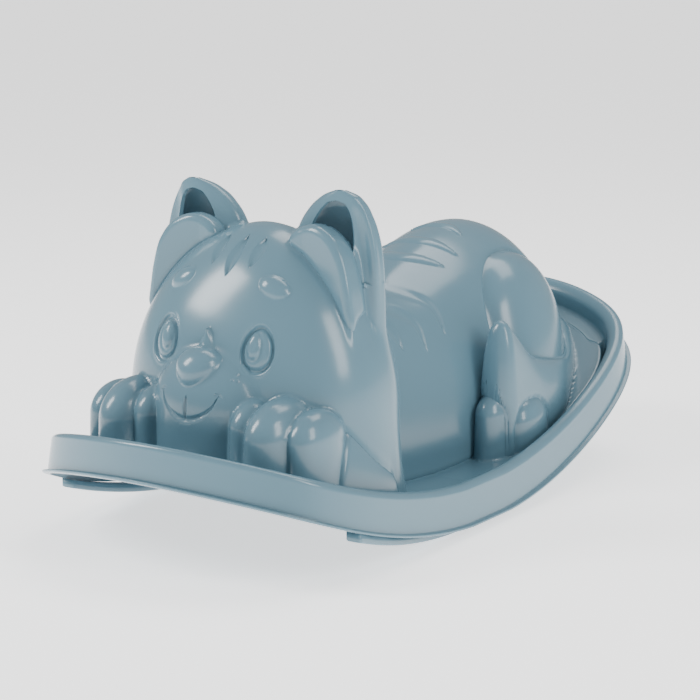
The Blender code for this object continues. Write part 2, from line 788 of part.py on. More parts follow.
def tray_form():
    """Skirt, rolled rim and deck as one wall carried round the outline."""
    arc = np.radians(np.linspace(180, 0, CREST_POINTS))
    crest_x = SKIRT_DRAFT + CREST_RADIUS
    crest_z = RIM_HEIGHT - CREST_RADIUS
    wall = [(0.0, 0.0)]
    wall += [(crest_x + CREST_RADIUS * math.cos(a), crest_z + CREST_RADIUS * math.sin(a)) for a in arc]
    wall += [(RIM_INSET + DECK_DRAFT, DECK_HEIGHT)]
    wall += [(TRAY_HALF_WIDTH * DECK_REACH, DECK_HEIGHT)]
    under = offset_line(wall, TRAY_WALL)
    under[0] = (TRAY_WALL, 0.0)
    flange = [(-FLANGE_WIDTH, 0.0), (-FLANGE_WIDTH, FLANGE_THICKNESS), (0.0, FLANGE_THICKNESS)]
    profile = flange + wall[1:] + [tuple(p) for p in under[::-1]]
    rings = [outline_ring(inset, z + RUNNER_DROP) for inset, z in profile]
    bm = bmesh.new()
    verts = [[bm.verts.new(p) for p in ring] for ring in rings]
    for a, b in zip(verts, verts[1:] + verts[:1]):
        for i in range(TRAY_POINTS):
            j = (i + 1) % TRAY_POINTS
            bm.faces.new((a[i], a[j], b[j], b[i]))
    bmesh.ops.recalc_face_normals(bm, faces=bm.faces)
    mesh = bpy.data.meshes.new("deck_tray")
    bm.to_mesh(mesh)
    bm.free()
    return add_object("tray_form", mesh)


def runner_ring(z, inset):
    """Plan outline of a runner at a height: it runs along the skirt, and its blunt ends are rounded."""
    rows = placed_along(RUNNER_SIDES)
    corner = max(RUNNER_CORNER - inset, SHARP_CORNER)
    turn = np.radians(np.linspace(0, 90, RUNNER_CORNER_STEPS))
    along, pull = corner * (1 - np.cos(turn)), corner * (1 - np.sin(turn))
    front, rear = rows[0, 0] + inset + along, rows[-1, 0] - inset - along[::-1]
    middle = np.linspace(front[-1], rear[0], RUNNER_STEPS)[1:-1]
    y = np.concatenate([front, middle, rear])
    pull = np.concatenate([pull, np.zeros_like(middle), pull[::-1]])
    skirt, width = flow(rows, y).T
    outer = side_x(y, 0.0) - skirt
    height = np.full_like(y, z)
    high = np.stack([outer - inset - pull, y, height], -1)
    low = np.stack([outer - width + inset + pull, y, height], -1)
    return np.concatenate([high, low[::-1]])


def runner_forms():
    """A runner, low enough to lie wholly under the tray, and its hollow, as stacks of (height, inset)."""
    top = RUNNER_DROP - GAP
    stacks = {
        "runner_form": [(0.0, RUNNER_EDGE), (RUNNER_EDGE, 0.0), (top, 0.0)],
        "runner_hollow": [(RUNNER_WALL, RUNNER_WALL), (top + BEYOND, RUNNER_WALL)],
    }
    return [
        solid_from_rings(name, [runner_ring(z, inset) for z, inset in stack])
        for name, stack in stacks.items()
    ]


def channel_form(name, wall, top):
    """The channel's space, or with a wall round it its outside: boxes in cross-section, end to end."""
    rows = placed_along(CHANNEL)
    y = np.linspace(rows[0, 0] - wall, rows[-1, 0] + wall, CHANNEL_STEPS)
    width, share = flow(rows, y.clip(rows[0, 0], rows[-1, 0])).T
    high = side_x(y, RIM_INSET + DECK_DRAFT) + wall - GAP
    low = high - width - 2 * wall
    floor = RUNNER_DROP + DECK_HEIGHT - share.clip(0, 1) * (DECK_HEIGHT - TRAY_WALL) - wall
    rings = []
    for a, b, place, under in zip(low, high, y, floor):
        rings.append([(a, place, under), (b, place, under), (b, place, top), (a, place, top)])
    return solid_from_rings(name, rings)


OUTER_RUNNER, RUNNER_HOLLOW = runner_forms()
LEFT_RUNNER = copied(OUTER_RUNNER, "left_runner")
boolean(LEFT_RUNNER, RUNNER_HOLLOW)
baked(LEFT_RUNNER)
pressed_on_rocker(LEFT_RUNNER)
RIGHT_RUNNER = mirrored(LEFT_RUNNER, "right_runner")
finish_part(LEFT_RUNNER, "left_runner")
finish_part(RIGHT_RUNNER, "right_runner")

TRAY = tray_form()
CHANNEL_OUTSIDE = channel_form("channel_outside", TRAY_WALL, RUNNER_DROP + DECK_HEIGHT - TRAY_WALL / 2)
CHANNEL_SPACE = channel_form("channel_space", 0.0, RUNNER_DROP + DECK_HEIGHT + BEYOND)
for outside in (CHANNEL_OUTSIDE, mirrored(CHANNEL_OUTSIDE, "channel_outside_right")):
    boolean(TRAY, outside, "UNION")
for space in (CHANNEL_SPACE, mirrored(CHANNEL_SPACE, "channel_space_right")):
    boolean(TRAY, space)
baked(TRAY)
pressed_on_rocker(TRAY)
OPENINGS = HEAD + BODY + LEFT_HAUNCH + RIGHT_HAUNCH + LEFT_PAW[:1] + RIGHT_PAW[:1]
LIPS = [grown(form.outer, -WALL - LIP, form.outer.name + "_lip") for form in OPENINGS]
boolean(TRAY, union_form("opening", LIPS))
finish_part(baked(TRAY), "deck_tray")

SHELLS = {name: shell(name) for name in ORDER}
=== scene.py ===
"""Rocking cat: the finished look of a toddler's rocker, moulded in one blue-grey plastic.

Metres, +Z up. The cat looks along -Y, its left side is +X, and the toy stands on z = 0. The moulding is made
of forms that run into each other. Each form is a surface of two parameters, and it also has a level: a number
that is 0 on the form, negative inside it and positive outside. Where two forms meet, their levels say how far
each surface lifts, so that the wall turns from one to the other through a soft crease.
"""
import math

import bpy
import numpy as np
from mathutils import Matrix, Vector


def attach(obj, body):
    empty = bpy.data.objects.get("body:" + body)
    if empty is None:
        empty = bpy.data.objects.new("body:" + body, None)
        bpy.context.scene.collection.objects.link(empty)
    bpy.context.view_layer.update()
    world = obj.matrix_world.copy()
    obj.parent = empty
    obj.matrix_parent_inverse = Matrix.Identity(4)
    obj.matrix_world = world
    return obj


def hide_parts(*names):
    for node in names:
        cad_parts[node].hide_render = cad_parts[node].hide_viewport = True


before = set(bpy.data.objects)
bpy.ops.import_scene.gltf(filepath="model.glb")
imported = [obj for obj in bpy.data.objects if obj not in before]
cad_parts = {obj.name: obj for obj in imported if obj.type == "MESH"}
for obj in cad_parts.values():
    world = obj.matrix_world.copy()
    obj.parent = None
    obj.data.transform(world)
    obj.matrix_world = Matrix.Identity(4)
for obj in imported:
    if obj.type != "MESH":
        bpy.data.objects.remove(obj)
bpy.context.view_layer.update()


# Rocking curve
# The tray, the deck and the rails are all bent to one parabola, so the toy rolls on the floor. Its lowest
# millimetre is a short flat land, on which the toy stands still.

ROCKER_RADIUS = 0.625
ROCK_POINT_Y = -0.045
REST_LAND = 0.072
RAIL_DROP = 0.009
DECK_HEIGHT = 0.022


def rocker(y):
    """Height of the rails' lower line: (distance from the rock point squared - half land squared) / 2R."""
    past_land = (y - ROCK_POINT_Y) ** 2 - (REST_LAND / 2) ** 2
    return np.maximum(past_land, 0) / (2 * ROCKER_RADIUS)


def deck_height(y):
    return rocker(y) + RAIL_DROP + DECK_HEIGHT


# Plastic
# One satin polypropylene, coloured through. The mould is polished, with a faint orange-peel swell, and the
# surface has picked up the light scuffs of a floor toy.

PLASTIC_PALE = (0.128, 0.240, 0.302, 1.0)
PLASTIC_DEEP = (0.114, 0.219, 0.281, 1.0)


class Socket:
    """Wraps a shader socket, so that shader maths reads as plain arithmetic."""

    def __init__(self, tree, socket):
        self.tree = tree
        self.socket = socket

    def node(self, kind, settings, values, output=0):
        node = self.tree.nodes.new(kind)
        for name, value in settings.items():
            setattr(node, name, value)
        for key, value in values.items():
            if isinstance(value, Socket):
                self.tree.links.new(value.socket, node.inputs[key])
            else:
                node.inputs[key].default_value = value
        return Socket(self.tree, node.outputs[output])

    def math(self, operation, *values):
        return self.node("ShaderNodeMath", {"operation": operation}, dict(enumerate(values)))

    def __add__(self, other):
        return self.math("ADD", self, other)

    def __radd__(self, other):
        return self.math("ADD", other, self)

    def __mul__(self, other):
        return self.math("MULTIPLY", self, other)

    def __rmul__(self, other):
        return self.math("MULTIPLY", other, self)


def satin_plastic():
    """Moulded plastic: cloudy colour, roughness that wanders, and a bump of slow swell and fine grain."""
    material = bpy.data.materials.new("satin_blue_grey_plastic")
    material.use_nodes = True
    tree = material.node_tree
    shader = tree.nodes["Principled BSDF"]
    coordinates = tree.nodes.new("ShaderNodeTexCoord")
    place = Socket(tree, coordinates.outputs["Object"])

    def noise(scale, detail):
        settings = {"noise_dimensions": "3D"}
        return place.node("ShaderNodeTexNoise", settings, {"Vector": place, "Scale": scale, "Detail": detail})

    cloud = noise(7.0, 2.0)
    grain = noise(900.0, 1.0)
    swell = noise(38.0, 1.0)
    scuff = noise(60.0, 5.0)
    colour = place.node(
        "ShaderNodeMix", {"data_type": "RGBA"}, {0: cloud, 6: PLASTIC_DEEP, 7: PLASTIC_PALE}, output=2
    )
    roughness = 0.17 + 0.07 * scuff + 0.03 * grain
    height = 0.65 * swell + 0.35 * grain
    bump = place.node("ShaderNodeBump", {}, {"Strength": 0.06, "Distance": 0.0006, "Height": height})
    tree.links.new(colour.socket, shader.inputs["Base Color"])
    tree.links.new(roughness.socket, shader.inputs["Roughness"])
    tree.links.new(bump.socket, shader.inputs["Normal"])
    shader.inputs["IOR"].default_value = 1.49
    shader.inputs["Coat Weight"].default_value = 0.25
    shader.inputs["Coat Roughness"].default_value = 0.15
    return material


SATIN_PLASTIC = satin_plastic()


# Tray
# A curved tray with a rolled rim, a skirt and a small flange below it. Along each side the deck drops into a
# deep channel beside the rim. The deck stops at the cat's wall, since the cat is hollow.

TRAY_WALL = 0.003
CUT_ANGLE = 50
WELD_DISTANCE = 0.00001
CREASE = 0.006
DECK_CREASE = 0.005
SLOPE_STEP = 0.0001
LIFT_STEPS = 5
LIFT_CAUTION = 0.7
TRAY_MID_Y = 0.00025
TRAY_HALF_LENGTH = 0.35975
TRAY_HALF_WIDTH = 0.184
SIDE_BOW = 0.09
END_BOW = 0.18
CORNER_POWER = 10.0
SKIRT_DRAFT = 0.004
RIM_HEIGHT = 0.041
CREST_RADIUS = 0.0075
RIM_INSET = SKIRT_DRAFT + 2 * CREST_RADIUS
DECK_DRAFT = 0.0007
DECK_REACH = 0.150
FLANGE_WIDTH = 0.004
FLANGE_HEIGHT = 0.0025
TRAY_COLUMNS = 900
CORNER_SHARE = 0.12
DECK_ROWS = 46
CHANNEL_LINE = 0.02
CHANNEL_INNER_X = 0.11
CHANNEL_ROUND = 0.0025
CHANNEL_SHARP = 0.0003
CHANNEL_FULL = 0.006
CHANNEL_DRAFT = 0.0008
# Channel in the deck: share of the tray's half length, width from the rim's wall, depth under the deck
CHANNEL = [
    (-0.475, 0.0160, 0.0000),
    (-0.431, 0.0160, 0.0015),
    (-0.278, 0.0160, 0.0040),
    (-0.083, 0.0155, 0.0100),
    (0.083, 0.0120, 0.0180),
    (0.242, 0.0088, 0.0190),
    (0.450, 0.0115, 0.0190),
    (0.578, 0.0104, 0.0190),
    (0.695, 0.0080, 0.0190),
    (0.780, 0.0070, 0.0190),
    (0.795, 0.0070, 0.0180),
    (0.818, 0.0076, 0.0000),
    (0.850, 0.0140, 0.0000),
]
FORMS = []


def flow(stations, where):
    """Smooth curve through rows of stations: a cubic between each two, with central slopes at each."""
    stations = np.asarray(stations, dtype=float)
    knots = stations[:, 0]
    slope = np.gradient(stations[:, 1:], knots, axis=0)
    where = np.clip(where, knots[0], knots[-1])
    i = np.clip(np.searchsorted(knots, where) - 1, 0, len(knots) - 2)
    span = knots[i + 1] - knots[i]
    t = ((where - knots[i]) / span)[..., None]
    here, there = stations[i, 1:], stations[i + 1, 1:]
    leave, arrive = slope[i] * span[..., None], slope[i + 1] * span[..., None]
    ease = 3 * t**2 - 2 * t**3
    values = (1 - ease) * here + ease * there + (t**3 - 2 * t**2 + t) * leave + (t**3 - t**2) * arrive
    return np.moveaxis(values, -1, 0)


def grid_normals(grid, closed):
    """Unit normals of a grid: the cross product of its two central differences, turned round if closed."""
    if closed:
        across = np.roll(grid, -1, axis=1) - np.roll(grid, 1, axis=1)
    else:
        across = np.gradient(grid, axis=1)
    along = np.gradient(grid, axis=0)
    normal = np.cross(across, along)
    size = np.linalg.norm(normal, axis=-1, keepdims=True)
    return normal / np.maximum(size, 1e-15)


def soft_least(a, b, width):
    """The least of two distances, rounded where nearly equal: min(a, b) - (width - |a - b|)^2 / 4 width."""
    near = np.maximum(width - np.abs(a - b), 0)
    return np.minimum(a, b) - near**2 / (4 * width)


class Form:
    """One form of the moulding: a grid of points on it, its level, and the width of its creases."""

    def __init__(self, name, node, grid, level, closed=True, crease=CREASE):
        self.name = name
        self.node = node
        self.grid = grid
        self.level = level
        self.closed = closed
        self.crease = crease
        self.normals = grid_normals(grid, closed)
        self.low = grid.reshape(-1, 3).min(axis=0)
        self.high = grid.reshape(-1, 3).max(axis=0)
        self.cover = np.full(grid.shape[:2], 1.0)
        self.relief = None
        FORMS.append(self)

    def distance(self, points):
        """The level divided by the length of its slope, which is about the distance near the surface."""
        here = self.level(points)
        steps = np.eye(3) * SLOPE_STEP
        slope = [(self.level(points + step) - here) / SLOPE_STEP for step in steps]
        size = np.sqrt(slope[0] ** 2 + slope[1] ** 2 + slope[2] ** 2)
        return here / np.maximum(size, 1e-6)

    def mirrored(self, name, node):
        """The same form on the cat's right side."""
        flip = np.array([-1.0, 1.0, 1.0])
        grid = (self.grid * flip)[:, ::-1]
        return Form(name, node, grid, lambda points: self.level(points * flip), self.closed, self.crease)

    def emboss(self):
        """Moves the surface along its normals by its relief, a function of the points."""
        if self.relief:
            height = self.relief(self.grid.reshape(-1, 3)).reshape(self.grid.shape[:2])
            self.grid = self.grid + height[..., None] * self.normals

    def meet(self, others):
        """Lifts the surface into the crease with each other form, and notes how far each point lies in one.

        Along its normal, a point climbs to where the soft least of its own distance and another's is 0.
        """
        points = self.grid.reshape(-1, 3)
        normals = self.normals.reshape(-1, 3)
        lift = np.zeros(len(points))
        near = []
        for other in others:
            reach = 2 * CREASE
            inside = ((points > other.low - reach) & (points < other.high + reach)).all(axis=1)
            if inside.any():
                near.append((other, np.flatnonzero(inside)))

        def gap(lift):
            least = lift.copy()
            nearest = np.full(len(points), 1.0)
            for other, index in near:
                distance = other.distance(points[index] + lift[index, None] * normals[index])
                width = min(self.crease, other.crease)
                least[index] = np.minimum(least[index], soft_least(lift[index], distance, width))
                nearest[index] = np.minimum(nearest[index], distance)
            return least, nearest

        for _ in range(LIFT_STEPS):
            least, nearest = gap(lift)
            lift = np.clip(lift - least / LIFT_CAUTION, 0, self.crease / 2)
        least, nearest = gap(lift)
        self.cover = nearest.reshape(self.grid.shape[:2])
        self.grid = (points + lift[:, None] * normals).reshape(self.grid.shape)


def make_mesh(name, grid, closed, keep=None):
    """Mesh of a grid's quads, less those of which no corner is kept."""
    rows, columns = grid.shape[:2]
    index = np.arange(rows * columns).reshape(rows, columns)
    if closed:
        index = np.concatenate([index, index[:, :1]], axis=1)
    quads = np.stack([index[:-1, :-1], index[:-1, 1:], index[1:, 1:], index[1:, :-1]], axis=-1).reshape(-1, 4)
    if keep is not None:
        quads = quads[keep.ravel()[quads].any(axis=1)]
    used, quads = np.unique(quads, return_inverse=True)
    mesh = bpy.data.meshes.new(name)
    mesh.from_pydata(grid.reshape(-1, 3)[used], [], quads.reshape(-1, 4))
    mesh.shade_smooth()
    return mesh


def add_piece(name, mesh, node):
    """Puts a piece in the scene: it rides on the moulding, wears its plastic and stands for its CAD node."""
    piece = bpy.data.objects.new(name, mesh)
    bpy.context.scene.collection.objects.link(piece)
    mesh.materials.append(SATIN_PLASTIC)
    weld = piece.modifiers.new("merge", "WELD")
    weld.merge_threshold = WELD_DISTANCE
    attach(piece, "root")
    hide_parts(node)
    return piece


def thicken(piece, thickness):
    """Gives a wall its thickness, inward, and keeps its cut edges sharp."""
    wall = piece.modifiers.new("wall", "SOLIDIFY")
    wall.thickness = thickness
    wall.offset = -1
    split = piece.modifiers.new("cut_edges", "EDGE_SPLIT")
    split.split_angle = math.radians(CUT_ANGLE)


def rows_between(start, end, count):
    """Rows from one value to the next, both of which may differ from column to column."""
    share = np.linspace(0, 1, count)[:, None]
    return start + share * (end - start)


def outline_radius(turn, inset):
    """Distance from the tray's middle to its bowed outline, inset by a width, found by halving.

    The outline is |x / (w (1 - bow (y/l)^2))|^10 + |y / (l (1 - bow (x/w)^2))|^10 = 1.
    """
    half_w = TRAY_HALF_WIDTH - inset
    half_l = TRAY_HALF_LENGTH - inset
    low = np.zeros(np.broadcast(turn, inset).shape)
    high = low + 2 * TRAY_HALF_LENGTH
    for _ in range(32):
        mid = (low + high) / 2
        x, y = mid * np.cos(turn), mid * np.sin(turn)
        across = np.abs(x) / (half_w * (1 - SIDE_BOW * (y / half_l) ** 2).clip(0.3))
        along = np.abs(y) / (half_l * (1 - END_BOW * (x / half_w) ** 2).clip(0.3))
        outside = across**CORNER_POWER + along**CORNER_POWER > 1
        high = np.where(outside, mid, high)
        low = np.where(outside, low, mid)
    return low


def outline_turns(count):
    """Directions of the outline's columns, evenly spaced along it but closer round the corners."""
    turn = np.linspace(0, 2 * math.pi, 4001)
    r = outline_radius(turn, 0.0)
    dx, dy = np.diff(r * np.cos(turn)), np.diff(r * np.sin(turn))
    heading = np.unwrap(np.arctan2(dy, dx))
    bend = np.abs(np.diff(heading, prepend=heading[0]))
    travel = np.concatenate([[0], np.cumsum(np.hypot(dx, dy) + CORNER_SHARE * bend)])
    return np.interp(np.arange(count) * travel[-1] / count, travel, turn)


def on_outline(turns, inset, z):
    """Grid of a profile carried round the tray: rows of inset and of height over the rails' lower line."""
    r = outline_radius(turns, inset)
    x, y = r * np.cos(turns), TRAY_MID_Y + r * np.sin(turns)
    return np.stack([x, y, z + rocker(y) + RAIL_DROP], -1)


def tray_grid():
    """Skirt, crest, inner wall, channel floor, channel wall and deck, from the outside in."""
    turns = outline_turns(TRAY_COLUMNS)
    r = outline_radius(turns, CHANNEL_LINE)
    x, y = r * np.cos(turns), TRAY_MID_Y + r * np.sin(turns)
    width, depth = flow(CHANNEL, (y - TRAY_MID_Y) / TRAY_HALF_LENGTH)
    depth = np.where(np.abs(x) > CHANNEL_INNER_X, depth.clip(0), 0)
    none = np.zeros_like(y)
    floor = DECK_HEIGHT - depth
    small = CHANNEL_SHARP + (CHANNEL_ROUND - CHANNEL_SHARP) * (depth / CHANNEL_FULL).clip(0, 1)
    start = RIM_INSET + DECK_DRAFT + none
    end = start + width
    crest_x, crest_z = SKIRT_DRAFT + CREST_RADIUS, RIM_HEIGHT - CREST_RADIUS + none
    over = np.radians(rows_between(180 + none, none, 17))
    turn = np.radians(rows_between(none, 90 + none, 6))
    foot = end - 2 * small - CHANNEL_DRAFT
    inset = np.concatenate([
        rows_between(none, SKIRT_DRAFT + none, 7)[:-1],
        crest_x + CREST_RADIUS * np.cos(over),
        rows_between(RIM_INSET + none, start, 9)[1:-1],
        start + CHANNEL_ROUND * (1 - np.cos(turn)),
        rows_between(start + CHANNEL_ROUND, foot, 5)[1:-1],
        foot + small * np.sin(turn),
        rows_between(foot + small, end - small, 7)[1:-1],
        end - small * np.cos(turn),
        rows_between(end, DECK_REACH + none, DECK_ROWS)[1:],
    ])
    z = np.concatenate([
        rows_between(none, crest_z, 7)[:-1],
        crest_z + CREST_RADIUS * np.sin(over),
        rows_between(crest_z, floor + CHANNEL_ROUND, 9)[1:-1],
        floor + CHANNEL_ROUND * (1 - np.sin(turn)),
        rows_between(floor, floor, 5)[1:-1],
        floor + small * (1 - np.cos(turn)),
        rows_between(floor + small, DECK_HEIGHT - small, 7)[1:-1],
        DECK_HEIGHT - small * (1 - np.sin(turn)),
        rows_between(DECK_HEIGHT + none, DECK_HEIGHT + none, DECK_ROWS)[1:],
    ])
    return on_outline(turns, inset, z)


def flange_grid():
    """Rounded edge that stands out under the skirt, as a closed loop of rows."""
    loop = np.array([
        (0.0020, 0.0000), (-0.0032, 0.0000), (-0.0038, 0.0003), (-FLANGE_WIDTH, 0.0009),
        (-FLANGE_WIDTH, 0.0016), (-0.0038, 0.0022), (-0.0032, FLANGE_HEIGHT), (-0.0004, FLANGE_HEIGHT),
        (0.0002, 0.0029), (0.0006, 0.0040), (0.0020, 0.0040), (0.0020, 0.0000),
    ])
    return on_outline(outline_turns(TRAY_COLUMNS // 2), loop[:, :1], loop[:, 1:])


def over_deck(points):
    return points[:, 2] - deck_height(points[:, 1])


TRAY_GRID = tray_grid()
RIM_ROWS = len(TRAY_GRID) - DECK_ROWS + 1
add_piece("flange", make_mesh("flange", flange_grid(), True), "deck_tray")
RIM = add_piece("rim", make_mesh("rim", TRAY_GRID[:RIM_ROWS], True), "deck_tray")
thicken(RIM, TRAY_WALL)
DECK = Form("deck", "deck_tray", TRAY_GRID[RIM_ROWS - 1:], over_deck, crease=DECK_CREASE)


# Rails
# Two hollow rails under the tray's sides, on which the toy rolls. They follow the skirt and end bluntly,
# under the flange, where a child's foot can't catch on them.

RAIL_EDGE = 0.002
RAIL_CORNER = 0.003
RAIL_TOP = 0.0087
RAIL_ROWS = 240
# Share of the tray's half length, distance from the skirt's outside, width
RAIL_SIDES = [
    (-0.723, 0.0006, 0.0165),
    (-0.598, 0.0040, 0.0145),
    (-0.417, 0.0110, 0.0125),
    (-0.222, 0.0160, 0.0120),
    (0.556, 0.0170, 0.0120),
    (0.708, 0.0170, 0.0120),
]


def rail_grid():
    """Rings in plan, from the sole's middle line out to its edge and up; z then follows the rocking curve."""
    share_front, share_rear = RAIL_SIDES[0][0], RAIL_SIDES[-1][0]
    turn = np.radians(np.linspace(0, 90, 9))
    along, pull = RAIL_CORNER * (1 - np.cos(turn)), RAIL_CORNER * (1 - np.sin(turn))
    front = TRAY_MID_Y + share_front * TRAY_HALF_LENGTH + along
    rear = TRAY_MID_Y + share_rear * TRAY_HALF_LENGTH - along[::-1]
    y = np.concatenate([front, np.linspace(front[-1], rear[0], RAIL_ROWS)[1:-1], rear])
    skirt, width = flow(RAIL_SIDES, (y - TRAY_MID_Y) / TRAY_HALF_LENGTH)
    pull = np.concatenate([pull, np.zeros(RAIL_ROWS - 2), pull[::-1]])
    share = ((y - TRAY_MID_Y) / TRAY_HALF_LENGTH) ** 2
    outer = TRAY_HALF_WIDTH * (1 - SIDE_BOW * share) - skirt
    centre, half = outer - width / 2, width / 2 - pull
    round_off = np.radians(np.linspace(0, 90, 6))
    middle = np.concatenate([[1, 0.5], 0 * round_off, [0, 0.3, 1]])
    inset = np.concatenate([[0, 0], RAIL_EDGE * (1 - np.sin(round_off)), [0, 0, 0]])
    z = np.concatenate([[0, 0], RAIL_EDGE * (1 - np.cos(round_off)), [RAIL_TOP, RAIL_TOP, RAIL_TOP]])
    rings = []
    for k in range(len(z)):
        wide = (half - np.minimum(inset[k], half * 0.5)) * (1 - middle[k])
        right = np.stack([centre + wide, y, z[k] + rocker(y)], -1)
        left = np.stack([centre - wide, y, z[k] + rocker(y)], -1)[::-1]
        rings.append(np.concatenate([right, left]))
    return np.array(rings)


RAIL_GRID = rail_grid()
add_piece("left_rail", make_mesh("left_rail", RAIL_GRID, True), "left_runner")
RIGHT_RAIL_GRID = (RAIL_GRID * [-1, 1, 1])[:, ::-1]
add_piece("right_rail", make_mesh("right_rail", RIGHT_RAIL_GRID, True), "right_runner")


# Body
# A long drafted arch from the neck to the rump, low at the saddle. It runs under the head in front. Leaves
# mark its fur: pressed into the back and raised on the flanks.

NECK_Y = -0.110
BODY_LENGTH = 0.430
BODY_WIDTH = 0.235
BACK_HEIGHT = 0.255
RUMP_ROUND = 0.122
BODY_FULLNESS = 2.0
FOOT_DEPTH = 0.004
PATH_SAMPLES = 160
LEAF_SAMPLES = 41
BACK_MARK_WIDTH = 0.0078
BACK_MARK_DEPTH = 0.0017
FLANK_MARK_WIDTH = 0.0075
FLANK_MARK_RISE = 0.0014
# Shares of the body's length, half width and height
BODY_SHAPE = [
    (0.00, 0.66, 0.800),
    (0.14, 0.72, 0.800),
    (0.21, 0.77, 0.810),
    (0.34, 0.87, 0.838),
    (0.40, 0.905, 0.875),
    (0.49, 0.955, 0.930),
    (0.58, 0.99, 0.972),
    (0.67, 1.00, 0.996),
    (0.77, 0.965, 0.985),
    (0.88, 0.87, 0.955),
    (1.00, 0.70, 0.925),
]
# Marks on the back seen from above, and on each flank seen from the side
BACK_MARKS = [
    [(-0.030, 0.152), (-0.015, 0.159), (0.0, 0.161), (0.015, 0.159), (0.030, 0.152)],
    [(-0.044, 0.121), (-0.024, 0.118), (0.0, 0.115), (0.024, 0.118), (0.044, 0.121)],
    [(-0.043, 0.095), (-0.024, 0.085), (0.0, 0.078), (0.024, 0.085), (0.043, 0.095)],
]
FLANK_MARKS = [
    [(-0.012, 0.205), (0.022, 0.204), (0.047, 0.190), (0.045, 0.160)],
    [(-0.034, 0.194), (-0.008, 0.192), (0.015, 0.177), (0.013, 0.148)],
    [(-0.034, 0.188), (-0.023, 0.180), (-0.019, 0.168), (-0.018, 0.155)],
]


def signed_power(value, power):
    return np.sign(value) * np.abs(value) ** power


class Arch:
    """Drafted arch along a path in plan, given by rows of (x, y, half width, crest height).

    Its section is |across / half|^p + (up / rise)^p = 1 over the deck. Toward each end it shrinks as
    sqrt(1 - past^2), where past runs from 0 to 1 over the nose's length.
    """

    def __init__(self, stations, noses, fullness):
        rows = np.asarray(stations, dtype=float)
        travel = np.concatenate([[0], np.cumsum(np.hypot(*np.diff(rows[:, :2], axis=0).T))])
        self.rows = np.column_stack([travel, rows])
        self.length = travel[-1]
        self.noses = noses
        self.fullness = fullness
        self.where = np.linspace(0, self.length, PATH_SAMPLES)
        self.x, self.y = flow(self.rows, self.where)[:2]
        dx, dy = np.gradient(self.x, self.where), np.gradient(self.y, self.where)
        size = np.hypot(dx, dy)
        self.dx, self.dy = dx / size, dy / size

    def past(self, along):
        start, end = self.noses
        before = (start - along) / start if start else 0 * along
        after = (along - (self.length - end)) / end if end else 0 * along
        return np.maximum(np.maximum(before, after), 0)

    def level(self, points):
        x, y, z = points.T
        if np.ptp(self.x) == 0:
            last = PATH_SAMPLES - 1
            nearest = ((y - self.y[0]) / (self.y[-1] - self.y[0]) * last).clip(0, last).astype(int)
        else:
            away = (x[:, None] - self.x) ** 2 + (y[:, None] - self.y) ** 2
            nearest = away.argmin(axis=1)
        off_x, off_y = x - self.x[nearest], y - self.y[nearest]
        dx, dy = self.dx[nearest], self.dy[nearest]
        along = self.where[nearest] + off_x * dx + off_y * dy
        across = off_x * dy - off_y * dx
        _, _, half, crest = flow(self.rows, along)
        base = deck_height(y)
        up = np.maximum(z - base, 0) / np.maximum(crest - base, 0.001)
        p = self.fullness
        section = (np.abs(across / half) ** p + up**p) ** (1 / p)
        return np.sqrt(section**2 + self.past(along) ** 2) - 1

    def grid(self, rows, nose_rows, columns):
        start, end = self.noses
        bend = np.linspace(0, math.pi / 2, nose_rows)
        first = start * (1 - np.sin(bend[::-1])) if start else np.zeros(1)
        last = self.length - end * (1 - np.sin(bend)) if end else np.full(1, self.length)
        where = np.concatenate([first, np.linspace(first[-1], last[0], rows)[1:-1], last])
        shrink = np.sqrt(np.maximum(1 - self.past(where) ** 2, 0))
        x, y, half, crest = flow(self.rows, where)
        dx, dy = np.interp(where, self.where, self.dx), np.interp(where, self.where, self.dy)
        turn = np.linspace(0, math.pi, columns)
        side = signed_power(np.cos(turn), 2 / self.fullness) * (half * shrink)[:, None]
        lift = np.sin(turn).clip(0) ** (2 / self.fullness) * shrink[:, None]
        px, py = x[:, None] + side * dy[:, None], y[:, None] - side * dx[:, None]
        base = deck_height(py)
        pz = base + (crest[:, None] - base) * lift
        grid = np.stack([px, py, pz], -1)
        foot = grid[:, [0, -1]] - [0, 0, FOOT_DEPTH]
        return np.concatenate([foot[:, :1], grid, foot[:, 1:]], axis=1)


BACK = Arch(
    [(0.0, NECK_Y + s * BODY_LENGTH, w * BODY_WIDTH / 2, h * BACK_HEIGHT) for s, w, h in BODY_SHAPE],
    (0, RUMP_ROUND), BODY_FULLNESS,
)
BACK_GRID = BACK.grid(rows=260, nose_rows=60, columns=240)
BODY = Form("back", "body_shell", BACK_GRID, BACK.level, closed=False)


def leaf(u, v, path, half_width):
    """How far a point lies inside a pointed leaf along a line, 0 to 1: 1 - |off the line| / (w (1 - t^2))."""
    path = np.asarray(path, dtype=float)
    knots = np.linspace(0, 1, len(path))
    line = flow(np.column_stack([knots, path]), np.linspace(0, 1, LEAF_SAMPLES)).T
    step = np.gradient(line, axis=0)
    size = np.linalg.norm(step, axis=1)
    low, high = line.min(axis=0) - half_width, line.max(axis=0) + half_width
    share = np.zeros(len(u))
    index = np.flatnonzero((u > low[0]) & (u < high[0]) & (v > low[1]) & (v < high[1]))
    off = np.stack([u[index], v[index]], -1)[:, None] - line
    nearest = (off**2).sum(-1).argmin(axis=1)
    off, step, size = off[np.arange(len(index)), nearest], step[nearest], size[nearest]
    along = (nearest + (off * step).sum(1) / size**2) / (LEAF_SAMPLES - 1)
    across = (off[:, 0] * step[:, 1] - off[:, 1] * step[:, 0]) / size
    width = half_width * (1 - (2 * along - 1) ** 2)
    inside = width > 1e-6
    share[index] = np.where(inside, 1 - np.abs(across) / np.where(inside, width, 1), 0).clip(0, 1)
    return share


def raised(share, height):
    """A leaf's relief: crisp at its edge and round along its crest."""
    return height * np.sin(share * math.pi / 2)


